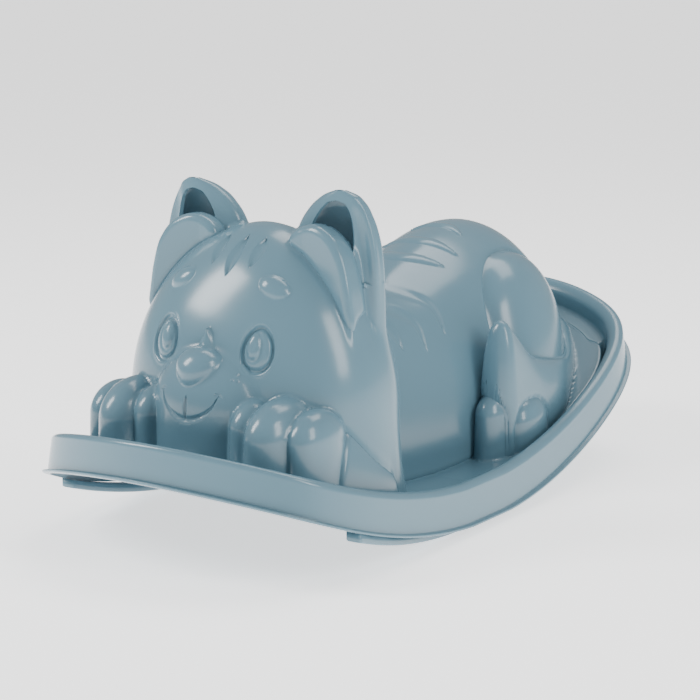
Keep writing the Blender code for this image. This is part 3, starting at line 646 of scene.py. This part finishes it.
def fur_relief(points):
    x, y, z = points.T
    height = np.zeros(len(x))
    for path in BACK_MARKS:
        height -= raised(leaf(x, y, path, BACK_MARK_WIDTH), BACK_MARK_DEPTH)
    for path in FLANK_MARKS:
        height += raised(leaf(y, z, path, FLANK_MARK_WIDTH), FLANK_MARK_RISE)
    return height


BODY.relief = fur_relief


# Head
# A broad dome on a nearly upright wall, flatter at the nape than at the face. It stands on the deck between
# the forearms, and the chin is hidden behind the rim.

HEAD_Y = -0.155
HEAD_RADIUS = 0.1375
FACE_DEPTH = 0.1050
NAPE_DEPTH = 0.0755
HEAD_TOP = 0.298
HEAD_START = 0.125
HEAD_DRAFT = 0.02
HEAD_PLAN = 2.35
HEAD_ROUND = (1.8, 2.1)
FRONT_LINE = -0.3


class Dome:
    """Dome on a drafted wall. Its plan is a superellipse, with one depth in front and one behind.

    The level is (plan^a + rise^b)^(1/2) - 1, where rise goes from 0 at the dome's start to 1 at its top.
    """

    def __init__(
        self, centre, radii, start, top, draft, plan=2.0, roundness=(2.0, 2.0), back=None, lean=(0.0, 0.0)
    ):
        self.centre = centre
        self.radii = radii
        self.start = start
        self.top = top
        self.draft = draft
        self.plan = plan
        self.roundness = roundness
        self.back = back or radii[1]
        self.lean = lean

    def level(self, points):
        x, y, z = points.T
        cx, cy = self.centre
        share = ((z - self.start) / (self.top - self.start)).clip(0, 1)
        cx, cy = cx + self.lean[0] * share**2, cy + self.lean[1] * share**2
        grow = self.draft * np.maximum(self.start - z, 0)
        u = np.abs(x - cx) / (self.radii[0] + grow)
        v = np.abs(y - cy) / (np.where(y < cy, self.radii[1], self.back) + grow)
        plan = (u**self.plan + v**self.plan) ** (1 / self.plan)
        rise = np.maximum(z - self.start, 0) / (self.top - self.start)
        return (plan ** self.roundness[0] + rise ** self.roundness[1]) ** 0.5 - 1

    def turns(self, columns, closer=1.0):
        """Directions of columns evenly spaced along the plan, and closer by a factor on its front."""
        turn = np.linspace(0, 2 * math.pi, 6001)
        c, s = signed_power(np.cos(turn), 2 / self.plan), signed_power(np.sin(turn), 2 / self.plan)
        step = np.hypot(np.diff(self.radii[0] * c), np.diff(np.where(s < 0, self.radii[1], self.back) * s))
        travel = np.concatenate([[0], np.cumsum(step * np.where(s[1:] < FRONT_LINE, closer, 1))])
        return np.interp(np.arange(columns) * travel[-1] / columns, travel, turn)

    def grid(self, turns, wall_rows, dome_rows):
        cx, cy = self.centre
        bend = np.linspace(0, math.pi / 2, dome_rows)
        shrink = np.concatenate([np.ones(wall_rows), np.cos(bend) ** (2 / self.roundness[0])])[:, None]
        rise = np.concatenate([np.zeros(wall_rows), np.sin(bend) ** (2 / self.roundness[1])])[:, None]
        share = np.concatenate([np.linspace(0, 1, wall_rows + 1)[:-1], np.ones(dome_rows)])[:, None]
        shrink[-1] = 0
        c, s = signed_power(np.cos(turns), 2 / self.plan), signed_power(np.sin(turns), 2 / self.plan)
        deep = np.where(s < 0, self.radii[1], self.back)
        foot = deck_height(cy + s * deep) - FOOT_DEPTH
        wall, dome = foot + share * (self.start - foot), self.start + rise * (self.top - self.start)
        z = np.where(rise > 0, dome, wall)
        grow = self.draft * np.maximum(self.start - z, 0)
        x = cx + self.lean[0] * rise**2 + c * (self.radii[0] + grow) * shrink
        y = cy + self.lean[1] * rise**2 + s * (deep + grow) * shrink
        return np.stack([x, y, z], -1)


SKULL = Dome(
    (0, HEAD_Y), (HEAD_RADIUS, FACE_DEPTH), HEAD_START, HEAD_TOP, HEAD_DRAFT, HEAD_PLAN, HEAD_ROUND,
    back=NAPE_DEPTH
)
SKULL_GRID = SKULL.grid(SKULL.turns(560, closer=2.6), wall_rows=24, dome_rows=190)
HEAD = Form("face", "head_shell", SKULL_GRID, SKULL.level)


# Face
# Low reliefs in the mould: eyes as lenses in a narrow moat, two raised brows, three leaves pressed into
# the forehead, and a bridge down to the nose.

EYE_PLACE = (0.0525, 0.1950)
EYE_SIZE = (0.0150, 0.0208)
EYE_TILT = 0.06
PUPIL_PLACE = (0.0492, 0.1980)
PUPIL_SIZE = (0.0068, 0.0125)
EYE_EGG = 0.10
BROW_PLACE = (0.0525, 0.2490)
BROW_SIZE = (0.0160, 0.0082)
BROW_TILT = -0.42
BROW_RISE = 0.0048
BROW_POWER = 0.75
# Forehead leaves, seen from the front: lower end, middle, upper end; then half width and depth
FOREHEAD_LEAVES = [
    ([(-0.0215, 0.264), (-0.0220, 0.277), (-0.0205, 0.288)], 0.0064, 0.0022),
    ([(0.0000, 0.256), (-0.0002, 0.273), (0.0010, 0.2895)], 0.0068, 0.0024),
    ([(0.0215, 0.264), (0.0220, 0.277), (0.0205, 0.288)], 0.0064, 0.0022),
]
BRIDGE = [(0.0, 0.156), (0.0, 0.183), (0.0, 0.210)]
BRIDGE_WIDTH = 0.0110
BRIDGE_RISE = 0.0062
# Height of the eye and of the pupil from the middle out, in shares of their size: lens, moat and rounded rim
EYE_HEIGHTS = [
    (0.00, 0.0018), (0.40, 0.0015), (0.66, 0.0006), (0.80, -0.0006), (0.88, -0.0030),
    (0.98, -0.0034), (1.04, -0.0012), (1.10, 0.0002), (1.20, 0.0000), (1.50, 0.0000),
]
PUPIL_HEIGHTS = [
    (0.00, 0.0026), (0.55, 0.0022), (0.82, 0.0012), (1.00, -0.0004),
    (1.14, -0.0005), (1.35, 0.0000), (1.60, 0.0000),
]


def oval(u, v, place, size, tilt, egg=0.0):
    """Distance from an oval's middle, 1 on its edge. A positive egg makes its lower half broader."""
    c, s = math.cos(tilt), math.sin(tilt)
    across = ((u - place[0]) * c + (v - place[1]) * s) / size[0]
    up = ((v - place[1]) * c - (u - place[0]) * s) / size[1]
    return np.hypot(across * (1 + egg * up.clip(-1, 1)), up)


def face_relief(points):
    x, y, z = points.T
    height = np.zeros(len(x))
    for side in (-1, 1):
        u = side * x
        height += flow(EYE_HEIGHTS, oval(u, z, EYE_PLACE, EYE_SIZE, EYE_TILT, EYE_EGG))[0]
        height += flow(PUPIL_HEIGHTS, oval(u, z, PUPIL_PLACE, PUPIL_SIZE, EYE_TILT, EYE_EGG))[0]
        brow = oval(u, z, BROW_PLACE, BROW_SIZE, BROW_TILT)
        height += BROW_RISE * (1 - brow**2).clip(0) ** BROW_POWER
    for path, half_width, depth in FOREHEAD_LEAVES:
        height -= raised(leaf(x, z, path, half_width), depth)
    height += raised(leaf(x, z, BRIDGE, BRIDGE_WIDTH), BRIDGE_RISE)
    return np.where(y < HEAD_Y, height, 0)


HEAD.relief = face_relief



# Muzzle
# A smaller dome in front of the face, which runs down behind the paws. The nose is an egg set into it, and
# the mouth is a fine groove below.

MUZZLE_Y = -0.243
MUZZLE_SIZE = (0.0615, 0.0435)
MUZZLE_START = 0.135
MUZZLE_TOP = 0.1925
MUZZLE_DRAFT = 0.03
NOSE_SIZE = (0.0218, 0.0240, 0.0225)
NOSE_PLACE = (0.0, -0.2605, 0.1722)
NOSE_TAPER = 0.34
NOSE_CREASE = 0.0022
# Grooves and dots seen from the front
MOUTH = [(-0.0318, 0.1555), (-0.0258, 0.1437), (-0.0142, 0.1350), (0.0, 0.1315)]
MOUTH += [(-x, z) for x, z in MOUTH[-2::-1]]
MOUTH_WIDTH = 0.0029
MOUTH_DEPTH = 0.0018
LIP_CREASE = [(0.0, 0.1320), (0.0, 0.1425), (0.0, 0.1540)]
LIP_WIDTH = 0.0024
LIP_DEPTH = 0.0020
DIMPLE = [(0.0275, 0.1570), (0.0315, 0.1560), (0.0350, 0.1535)]
DIMPLE_WIDTH = 0.0018
DIMPLE_DEPTH = 0.0012
WHISKER_DOTS = [(0.0400, 0.1735), (0.0385, 0.1690), (0.0425, 0.1680)]
WHISKER_RADIUS = 0.0012
WHISKER_RISE = 0.0007

SNOUT = Dome((0, MUZZLE_Y), MUZZLE_SIZE, MUZZLE_START, MUZZLE_TOP, MUZZLE_DRAFT)
SNOUT_GRID = SNOUT.grid(SNOUT.turns(360, closer=2.4), wall_rows=34, dome_rows=136)
MUZZLE = Form("muzzle", "muzzle", SNOUT_GRID, SNOUT.level)


def full_turn(columns):
    return np.linspace(0, 2 * math.pi, columns, endpoint=False)


class Ball:
    """Egg: its breadth grows with height, by a taper. The level is |offset / size| - 1."""

    def __init__(self, place, size, taper):
        self.place = np.array(place)
        self.size = np.array(size)
        self.taper = taper

    def level(self, points):
        u, v, w = ((points - self.place) / self.size).T
        return np.sqrt((u / (1 + self.taper * w.clip(-1, 1))) ** 2 + v**2 + w**2) - 1

    def grid(self, columns, rows):
        turn = full_turn(columns)
        bend = np.linspace(-math.pi / 2, math.pi / 2, rows)[:, None]
        w = np.sin(bend)
        u = np.cos(turn) * np.cos(bend) * (1 + self.taper * w)
        v = np.sin(turn) * np.cos(bend)
        return self.place + self.size * np.stack([u, v, np.broadcast_to(w, u.shape)], -1)


BUTTON = Ball(NOSE_PLACE, NOSE_SIZE, NOSE_TAPER)
Form("nose", "muzzle", BUTTON.grid(columns=160, rows=90), BUTTON.level, crease=NOSE_CREASE)


def muzzle_relief(points):
    x, y, z = points.T
    height = -raised(leaf(x, z, MOUTH, MOUTH_WIDTH), MOUTH_DEPTH)
    height -= raised(leaf(x, z, LIP_CREASE, LIP_WIDTH), LIP_DEPTH)
    for side in (-1, 1):
        height -= raised(leaf(side * x, z, DIMPLE, DIMPLE_WIDTH), DIMPLE_DEPTH)
        for place in WHISKER_DOTS:
            away = np.hypot(side * x - place[0], z - place[1]) / WHISKER_RADIUS
            height += WHISKER_RISE * np.sqrt((1 - away**2).clip(0))
    return np.where(y < MUZZLE_Y, height, 0)


MUZZLE.relief = muzzle_relief


# Ears
# Hollow grips for the rider's hands. Each is a cupped leaf, open in front, whose back wall runs down to the
# deck as a column.

EAR_TIP = 0.334
EAR_X = 0.079
EAR_WIDTH = 0.100
EAR_FRONT_Y = -0.168
EAR_DEPTH = 0.070
EAR_FULLNESS = 2.3
EAR_LEAN = 0.008
EAR_LEAN_POWER = 6
EAR_TIP_FALL = 0.01
EAR_COLUMNS = 150
EAR_FOOT = 0.020
MOUTH_LOW = 0.248
MOUTH_HIGH = 0.325
# Shares of the ear's half width at which its flutes start and are full
FLUTE_START = 0.2
FLUTE_FULL = 0.5
# Heights of the ear's outer side from its mouth back, in shares of its depth: lip, groove and ridge
EAR_FLUTES = [
    (-0.20, 0.0000), (0.00, 0.0000), (0.06, 0.0004), (0.13, -0.0018), (0.20, -0.0014), (0.32, 0.0012),
    (0.46, 0.0004), (0.60, 0.0008), (0.80, 0.0000), (1.20, 0.0000),
]
# How strong the flutes are at each height
FLUTE_HEIGHTS = [(0.19, 0.0), (0.20, 0.0), (0.24, 1.0), (0.31, 1.0), (0.322, 0.0), (0.34, 0.0)]
# Shares of the ear's height over its foot, then of its width and depth
EAR_SHAPE = [
    (0.00, -0.55, 0.660, 0.98),
    (0.15, -0.55, 0.590, 0.84),
    (0.28, -0.55, 0.545, 0.72),
    (0.41, -0.55, 0.510, 0.65),
    (0.56, -0.54, 0.480, 0.61),
    (0.68, -0.54, 0.455, 0.60),
    (0.79, -0.53, 0.430, 0.57),
    (0.86, -0.485, 0.390, 0.53),
    (0.92, -0.380, 0.335, 0.45),
    (0.965, -0.235, 0.270, 0.34),
    (0.988, -0.110, 0.205, 0.22),
    (1.00, 0.000, 0.125, 0.11),
]
# The mouth's sides: height, inner x and outer x
MOUTH_SIDES = [
    (0.248, 0.084, 0.086),
    (0.255, 0.066, 0.1010),
    (0.270, 0.057, 0.1025),
    (0.285, 0.053, 0.1030),
    (0.301, 0.0565, 0.1015),
    (0.312, 0.0625, 0.0985),
    (0.319, 0.0685, 0.0950),
    (0.3232, 0.0745, 0.0905),
    (0.325, 0.0815, 0.0845),
]


def ear_section(z):
    """Middle and half sizes of the ear's plan at a height. The tip leans back."""
    share = (z - EAR_FOOT) / (EAR_TIP - EAR_FOOT)
    inner, outer, depth = flow(EAR_SHAPE, share)
    low, high = EAR_X + inner * EAR_WIDTH, EAR_X + outer * EAR_WIDTH
    front = EAR_FRONT_Y + EAR_LEAN * share.clip(0, 1) ** EAR_LEAN_POWER
    return (low + high) / 2, front + depth * EAR_DEPTH / 2, (high - low) / 2, depth * EAR_DEPTH / 2


def ear_level(points):
    x, y, z = points.T
    mid_x, mid_y, half_x, half_y = ear_section(z)
    u, v = np.abs(x - mid_x) / half_x, np.abs(y - mid_y) / half_y
    plan = (u**EAR_FULLNESS + v**EAR_FULLNESS) ** (1 / EAR_FULLNESS)
    return plan - 1 + np.maximum(z - EAR_TIP, 0) / EAR_TIP_FALL


def ear_grid():
    """Rows of the ear's plan. Between the mouth's ends each row starts and stops at the mouth's sides."""
    low = EAR_FOOT + (MOUTH_LOW - EAR_FOOT) * np.linspace(0, 1, 80)
    middle = MOUTH_LOW + (MOUTH_HIGH - MOUTH_LOW) * (1 - np.cos(np.linspace(0, math.pi, 70)[1:-1])) / 2
    high = MOUTH_HIGH + (EAR_TIP - MOUTH_HIGH) * np.sin(np.linspace(0, math.pi / 2, 24))
    z = np.concatenate([low, middle, high])
    mid_x, mid_y, half_x, half_y = ear_section(z)
    inner_x, outer_x = flow(MOUTH_SIDES, z)
    open_rows = (z > MOUTH_LOW) & (z < MOUTH_HIGH)
    start = -np.arccos(signed_power(((outer_x - mid_x) / half_x).clip(-0.99, 0.99), EAR_FULLNESS / 2))
    end = -np.arccos(signed_power(((inner_x - mid_x) / half_x).clip(-0.99, 0.99), EAR_FULLNESS / 2))
    start = np.where(open_rows, start, -math.pi / 2)
    end = np.where(open_rows, end, -math.pi / 2)
    share = np.linspace(0, 1, EAR_COLUMNS)
    turns = start[:, None] + share * (2 * math.pi + end - start)[:, None]
    c, s = signed_power(np.cos(turns), 2 / EAR_FULLNESS), signed_power(np.sin(turns), 2 / EAR_FULLNESS)
    x, y = mid_x[:, None] + half_x[:, None] * c, mid_y[:, None] + half_y[:, None] * s
    return np.stack([x, y, np.broadcast_to(z[:, None], x.shape)], -1)


LEFT_EAR = Form("left_ear", "left_ear_grip", ear_grid(), ear_level, closed=False)
RIGHT_EAR = LEFT_EAR.mirrored("right_ear", "right_ear_grip")


def ear_relief(points):
    x, y, z = points.T
    mid_x, mid_y, half_x, half_y = ear_section(z)
    blend = FLUTE_FULL - FLUTE_START
    outward = ((np.abs(x) - mid_x) / half_x - FLUTE_START).clip(0, blend) / blend
    fade = flow(FLUTE_HEIGHTS, z)[0]
    return flow(EAR_FLUTES, (y - mid_y + half_y) / (2 * half_y))[0] * outward * fade


LEFT_EAR.relief = RIGHT_EAR.relief = ear_relief


# Ear panels
# A shallow shield stands on the forehead in front of each ear and closes the lower half of its mouth.

PANEL_DEPTH = 0.012
PANEL_EDGE = 0.0035
PANEL_TURN = 0.15
PANEL_HINGE = 0.060
PANEL_REACH = 0.030
PANEL_MIDDLE = (0.085, 0.240)
# The panel's corners seen from the front
PANEL_OUTLINE = [
    (0.030, 0.250), (0.038, 0.273), (0.051, 0.294), (0.070, 0.300), (0.0875, 0.294),
    (0.102, 0.277), (0.110, 0.252), (0.1145, 0.225), (0.1185, 0.202), (0.1165, 0.184),
    (0.090, 0.194), (0.055, 0.217),
]


def smooth_loop(corners, count):
    """Evenly spaced points of a smooth closed curve through the corners."""
    closed = np.asarray(corners + corners[:1])
    travel = np.concatenate([[0], np.cumsum(np.hypot(*np.diff(closed, axis=0).T))])
    rows = np.column_stack([travel, closed])
    around = np.concatenate([rows[-3:-1] - [travel[-1], 0, 0], rows, rows[1:3] + [travel[-1], 0, 0]])
    return flow(around, np.linspace(0, travel[-1], count + 1)[:-1]).T


PANEL_LOOP = smooth_loop(PANEL_OUTLINE, 160)


def loop_distance(loop, x, z):
    """Distance in the front view from a closed loop, negative inside it."""
    ahead = np.roll(loop, -1, axis=0) - loop
    off = np.stack([x, z], -1)[:, None] - loop
    share = ((off * ahead).sum(-1) / (ahead**2).sum(-1)).clip(0, 1)
    away = off - share[..., None] * ahead
    distance = np.sqrt((away**2).sum(-1).min(axis=1))
    before = off[..., 1] >= 0
    after = np.roll(before, -1, axis=1)
    cross = off[..., 0] * ahead[:, 1] - off[..., 1] * ahead[:, 0]
    turns = (before & ~after & (cross < 0)).sum(1) - (~before & after & (cross > 0)).sum(1)
    return np.where(turns != 0, -distance, distance)


def panel_turn(x):
    """How far the panel stands forward at its outer side."""
    return PANEL_TURN * np.maximum(x - PANEL_HINGE, 0)


def panel_level(points):
    """Distance from a thick plate with a rounded front edge."""
    x, y, z = points.T
    y = y + panel_turn(x)
    side = loop_distance(PANEL_LOOP, x, z) + PANEL_EDGE
    ahead = (EAR_FRONT_Y - PANEL_DEPTH) - y + PANEL_EDGE
    round_off = np.hypot(np.maximum(side, 0), np.maximum(ahead, 0))
    return round_off + np.minimum(np.maximum(side, ahead), 0) - PANEL_EDGE


def panel_grid():
    """Rows go from the panel's back edge forward, round its front edge and in to its middle."""
    ahead = np.roll(PANEL_LOOP, -1, axis=0) - np.roll(PANEL_LOOP, 1, axis=0)
    inward = np.stack([ahead[:, 1], -ahead[:, 0]], -1) / np.linalg.norm(ahead, axis=1)[:, None]
    front = EAR_FRONT_Y - PANEL_DEPTH
    bend = np.linspace(0, math.pi / 2, 10)
    inset = np.concatenate([np.zeros(8), PANEL_EDGE * (1 - np.cos(bend))])
    y = np.concatenate([
        np.linspace(front + PANEL_REACH, front + PANEL_EDGE, 9)[:-1], front + PANEL_EDGE * (1 - np.sin(bend))
    ])
    edge = PANEL_LOOP + inset[:, None, None] * inward
    share = np.linspace(0, 1, 40)[1:, None, None]
    face = edge[-1] + share * (np.array(PANEL_MIDDLE) - edge[-1])
    flat = np.concatenate([edge, face])
    y = np.concatenate([y, np.full(len(face), front)])
    return np.stack([flat[..., 0], y[:, None] - panel_turn(flat[..., 0]), flat[..., 1]], -1)


LEFT_PANEL = Form("left_panel", "left_ear_panel", panel_grid(), panel_level)
LEFT_PANEL.mirrored("right_panel", "right_ear_panel")


# Front paws
# Each forearm lies along the cheek and ends in three toes, which look over the rim.

TOE_CREASE = 0.003
TOE_RADIUS = 0.0262
TOE_TOP = 0.156
TOE_Y = -0.251
PAW_X = 0.084
TOE_PITCH = 0.033
FOREARM_WIDTH = 0.080
LIMB_FULLNESS = 2.3
TOE_LENGTH = 1.8
TOE_ROUND = 1.4
TOE_DRAFT = 0.03
TOE_PLAN = 2.1
FOREARM_ENDS = (0.018, 0.022)
# Toes from the inside out: sideways, forward, share of the radius, drop of the top
FRONT_TOES = [
    (-TOE_PITCH * 0.86, -0.002, 0.74, 0.003),
    (0.0, 0.0, 1.0, 0.0),
    (TOE_PITCH * 0.9, -0.010, 0.78, 0.009),
]


def toe(name, node, x, y, radius, top):
    """One toe: a tall dome on its own drafted wall."""
    dome = Dome((x, y), (radius, radius * TOE_LENGTH), top - radius * TOE_ROUND, top, TOE_DRAFT, TOE_PLAN)
    grid = dome.grid(full_turn(96), wall_rows=26, dome_rows=36)
    return Form(name, node, grid, dome.level, crease=TOE_CREASE)


def toes(name, node, place, radius, top, shares):
    """Toes side by side, from rows of sideways, forward, share of the radius and drop of the top."""
    x, y = place
    made = []
    for number, (side, forward, share, drop) in enumerate(shares):
        made.append(toe(f"{name}_{number + 1}", node, x + side, y - forward, radius * share, top - drop))
    return made


FOREARM = Arch([
    (PAW_X + 0.002, TOE_Y - 0.010, FOREARM_WIDTH * 0.50, TOE_TOP - 0.006),
    (PAW_X + 0.013, TOE_Y + 0.030, FOREARM_WIDTH * 0.52, TOE_TOP - 0.014),
    (PAW_X + 0.021, TOE_Y + 0.075, FOREARM_WIDTH * 0.51, TOE_TOP - 0.044),
    (PAW_X + 0.023, TOE_Y + 0.115, FOREARM_WIDTH * 0.48, TOE_TOP - 0.078),
], FOREARM_ENDS, LIMB_FULLNESS)
FOREARM_GRID = FOREARM.grid(rows=70, nose_rows=20, columns=80)
LEFT_PAW = [Form("left_forearm", "left_front_paw", FOREARM_GRID, FOREARM.level, closed=False)]
LEFT_PAW += toes("left_toe", "left_front_paw", (PAW_X, TOE_Y), TOE_RADIUS, TOE_TOP, FRONT_TOES)
for form in LEFT_PAW:
    form.mirrored(form.name.replace("left", "right"), "right_front_paw")


# Haunches, hind paws and tail
# The hind legs are folded under the rump. The tail comes round the left haunch and lies on the hind paw.

HAUNCH_Y = 0.176
HAUNCH_X = 0.079
HAUNCH_WIDTH = 0.104
HAUNCH_LENGTH = 0.160
HAUNCH_TOP = 0.228
HAUNCH_ROUND = 0.131
HAUNCH_LEAN = (-0.015, 0.007)
HAUNCH_DRAFT = 0.02
HAUNCH_FULLNESS = (2.3, 2.3)
HIND_TOE_RADIUS = 0.0185
HIND_TOE_TOP = 0.106
HIND_PAW_X = 0.116
HIND_ENDS = (0.012, 0.012)
HIND_TOES = [(-0.0125, 0.012, 0.70, 0.008), (0.0045, 0.017, 1.0, 0.0), (0.0235, -0.009, 0.97, 0.010)]
TAIL_X = 0.128
TAIL_HALF = 0.020
TAIL_ENDS = (0.020, 0.018)

THIGH = Dome(
    (HAUNCH_X, HAUNCH_Y), (HAUNCH_WIDTH / 2, HAUNCH_LENGTH / 2), HAUNCH_TOP - HAUNCH_ROUND, HAUNCH_TOP,
    HAUNCH_DRAFT, roundness=HAUNCH_FULLNESS, lean=HAUNCH_LEAN
)
THIGH_GRID = THIGH.grid(full_turn(200), wall_rows=40, dome_rows=70)
LEFT_HAUNCH = Form("left_haunch", "left_haunch", THIGH_GRID, THIGH.level)
LEFT_HAUNCH.mirrored("right_haunch", "right_haunch")

HIND_FRONT = HAUNCH_Y - HAUNCH_LENGTH / 2
HIND_FOOT = Arch([
    (HIND_PAW_X + 0.004, HIND_FRONT - 0.018, HIND_TOE_RADIUS, HIND_TOE_TOP - 0.004),
    (HIND_PAW_X + 0.006, HIND_FRONT + 0.012, HIND_TOE_RADIUS * 1.1, HIND_TOE_TOP),
    (HIND_PAW_X + 0.004, HIND_FRONT + 0.052, HIND_TOE_RADIUS * 1.1, HIND_TOE_TOP + 0.006),
], HIND_ENDS, LIMB_FULLNESS)
HIND_GRID = HIND_FOOT.grid(rows=50, nose_rows=14, columns=60)
LEFT_HIND = [Form("left_hind_foot", "left_hind_paw", HIND_GRID, HIND_FOOT.level, closed=False)]
LEFT_HIND += toes(
    "left_hind_toe", "left_hind_paw", (HIND_PAW_X, HIND_FRONT), HIND_TOE_RADIUS, HIND_TOE_TOP, HIND_TOES
)
for form in LEFT_HIND:
    form.mirrored(form.name.replace("left", "right"), "right_hind_paw")

TAIL_PATH = Arch([
    (TAIL_X - 0.080, HAUNCH_Y + 0.124, TAIL_HALF * 0.62, 0.142),
    (TAIL_X - 0.052, HAUNCH_Y + 0.102, TAIL_HALF * 0.80, 0.142),
    (TAIL_X - 0.031, HAUNCH_Y + 0.068, TAIL_HALF * 0.92, 0.137),
    (TAIL_X - 0.014, HAUNCH_Y + 0.028, TAIL_HALF * 0.98, 0.126),
    (TAIL_X - 0.001, HAUNCH_Y - 0.014, TAIL_HALF, 0.121),
    (TAIL_X - 0.001, HAUNCH_Y - 0.056, TAIL_HALF * 0.98, 0.136),
    (TAIL_X - 0.003, HAUNCH_Y - 0.084, TAIL_HALF * 0.96, 0.161),
    (TAIL_X - 0.005, HAUNCH_Y - 0.116, TAIL_HALF * 0.95, 0.190),
], TAIL_ENDS, LIMB_FULLNESS)
TAIL_GRID = TAIL_PATH.grid(rows=150, nose_rows=24, columns=90)
Form("tail", "tail", TAIL_GRID, TAIL_PATH.level, closed=False, crease=TOE_CREASE)


# Creases
# Every form climbs into its creases with the rest, and loses what lies inside another. A form that another
# hides wholly makes no piece. The head's outer face is fine, and its lining has fewer rows and columns.

WALL = 0.0035
OVERLAP = 0.002
LINING_STEP = 4

for form in FORMS:
    form.meet([other for other in FORMS if other is not form])
    form.emboss()
for form in FORMS:
    kept = form.cover > -OVERLAP
    if not kept.any():
        continue
    wall = add_piece(form.name, make_mesh(form.name, form.grid, form.closed, kept), form.node)
    if form is HEAD:
        rows = np.append(np.arange(0, len(form.grid) - 1, LINING_STEP), len(form.grid) - 1)
        inside = (form.grid - WALL * form.normals)[rows][:, ::-LINING_STEP]
        lining = np.concatenate([form.grid[:1, ::-LINING_STEP], inside])
        kept = kept[rows][:, ::-LINING_STEP]
        kept = np.concatenate([kept[:1], kept])
        add_piece("head_lining", make_mesh("head_lining", lining, True, kept), form.node)
    else:
        thicken(wall, TRAY_WALL if form is DECK else WALL)


# Stage
# A camera at the photograph's place, three softboxes, and a pale floor that glows, so that the ground looks
# as light as a studio's.

AZIMUTH = 0.5832
ELEVATION = 0.2003
DISTANCE = 2.2337
TARGET_Z = 0.159
FOCAL_PIXELS = 2193.2
PICTURE = 700
CENTRE_U = 357.32
CENTRE_V = 337.88
SENSOR = 36
AIM = (0, 0, 0.15)
# Softboxes: name, place, size and power
SOFTBOXES = [
    ("key_softbox", (-1.45, -1.35, 1.7), (0.7, 1.2), 44),
    ("top_softbox", (0.1, 0.9, 2.1), (1.8, 0.9), 24),
    ("side_softbox", (2.0, -0.3, 1.2), (0.6, 1.4), 22),
]
FLOOR_COLOUR = (0.92, 0.92, 0.92, 1)
FLOOR_ROUGHNESS = 0.6
FLOOR_GLOW = 1.3
FLOOR_HALF = 60
SKY_COLOUR = (0.95, 0.96, 0.97, 1)
SKY_STRENGTH = 0.45


def add_camera():
    """Camera at the photograph's place: its axes are built from the azimuth and the elevation."""
    back = Vector((
        math.sin(AZIMUTH) * math.cos(ELEVATION), -math.cos(AZIMUTH) * math.cos(ELEVATION), math.sin(ELEVATION)
    ))
    right = Vector((math.cos(AZIMUTH), math.sin(AZIMUTH), 0))
    up = back.cross(right)
    data = bpy.data.cameras.new("camera")
    camera = bpy.data.objects.new("camera", data)
    bpy.context.scene.collection.objects.link(camera)
    turn = Matrix((right, up, back)).transposed().to_4x4()
    camera.matrix_world = Matrix.Translation(back * DISTANCE + Vector((0, 0, TARGET_Z))) @ turn
    data.sensor_width = SENSOR
    data.lens = FOCAL_PIXELS / PICTURE * SENSOR
    data.shift_x = (PICTURE / 2 - CENTRE_U) / PICTURE
    data.shift_y = (CENTRE_V - PICTURE / 2) / PICTURE
    bpy.context.scene.camera = camera


def add_softbox(name, place, size, power):
    data = bpy.data.lights.new(name, "AREA")
    data.shape = "RECTANGLE"
    data.size, data.size_y = size
    data.energy = power
    light = bpy.data.objects.new(name, data)
    light.location = place
    light.rotation_euler = (Vector(place) - Vector(AIM)).to_track_quat("Z", "Y").to_euler()
    bpy.context.scene.collection.objects.link(light)


def add_floor():
    mesh = bpy.data.meshes.new("floor")
    corners = [(-1, -1), (1, -1), (1, 1), (-1, 1)]
    mesh.from_pydata([(x * FLOOR_HALF, y * FLOOR_HALF, 0) for x, y in corners], [], [(0, 1, 2, 3)])
    floor = bpy.data.objects.new("floor", mesh)
    bpy.context.scene.collection.objects.link(floor)
    material = bpy.data.materials.new("pale_floor")
    material.use_nodes = True
    shader = material.node_tree.nodes["Principled BSDF"]
    shader.inputs["Base Color"].default_value = FLOOR_COLOUR
    shader.inputs["Roughness"].default_value = FLOOR_ROUGHNESS
    shader.inputs["Emission Color"].default_value = (1, 1, 1, 1)
    shader.inputs["Emission Strength"].default_value = FLOOR_GLOW
    mesh.materials.append(material)


def add_sky():
    world = bpy.data.worlds.new("studio")
    bpy.context.scene.world = world
    world.use_nodes = True
    background = world.node_tree.nodes["Background"]
    background.inputs["Color"].default_value = SKY_COLOUR
    background.inputs["Strength"].default_value = SKY_STRENGTH


add_camera()
for softbox in SOFTBOXES:
    add_softbox(*softbox)
add_floor()
add_sky()
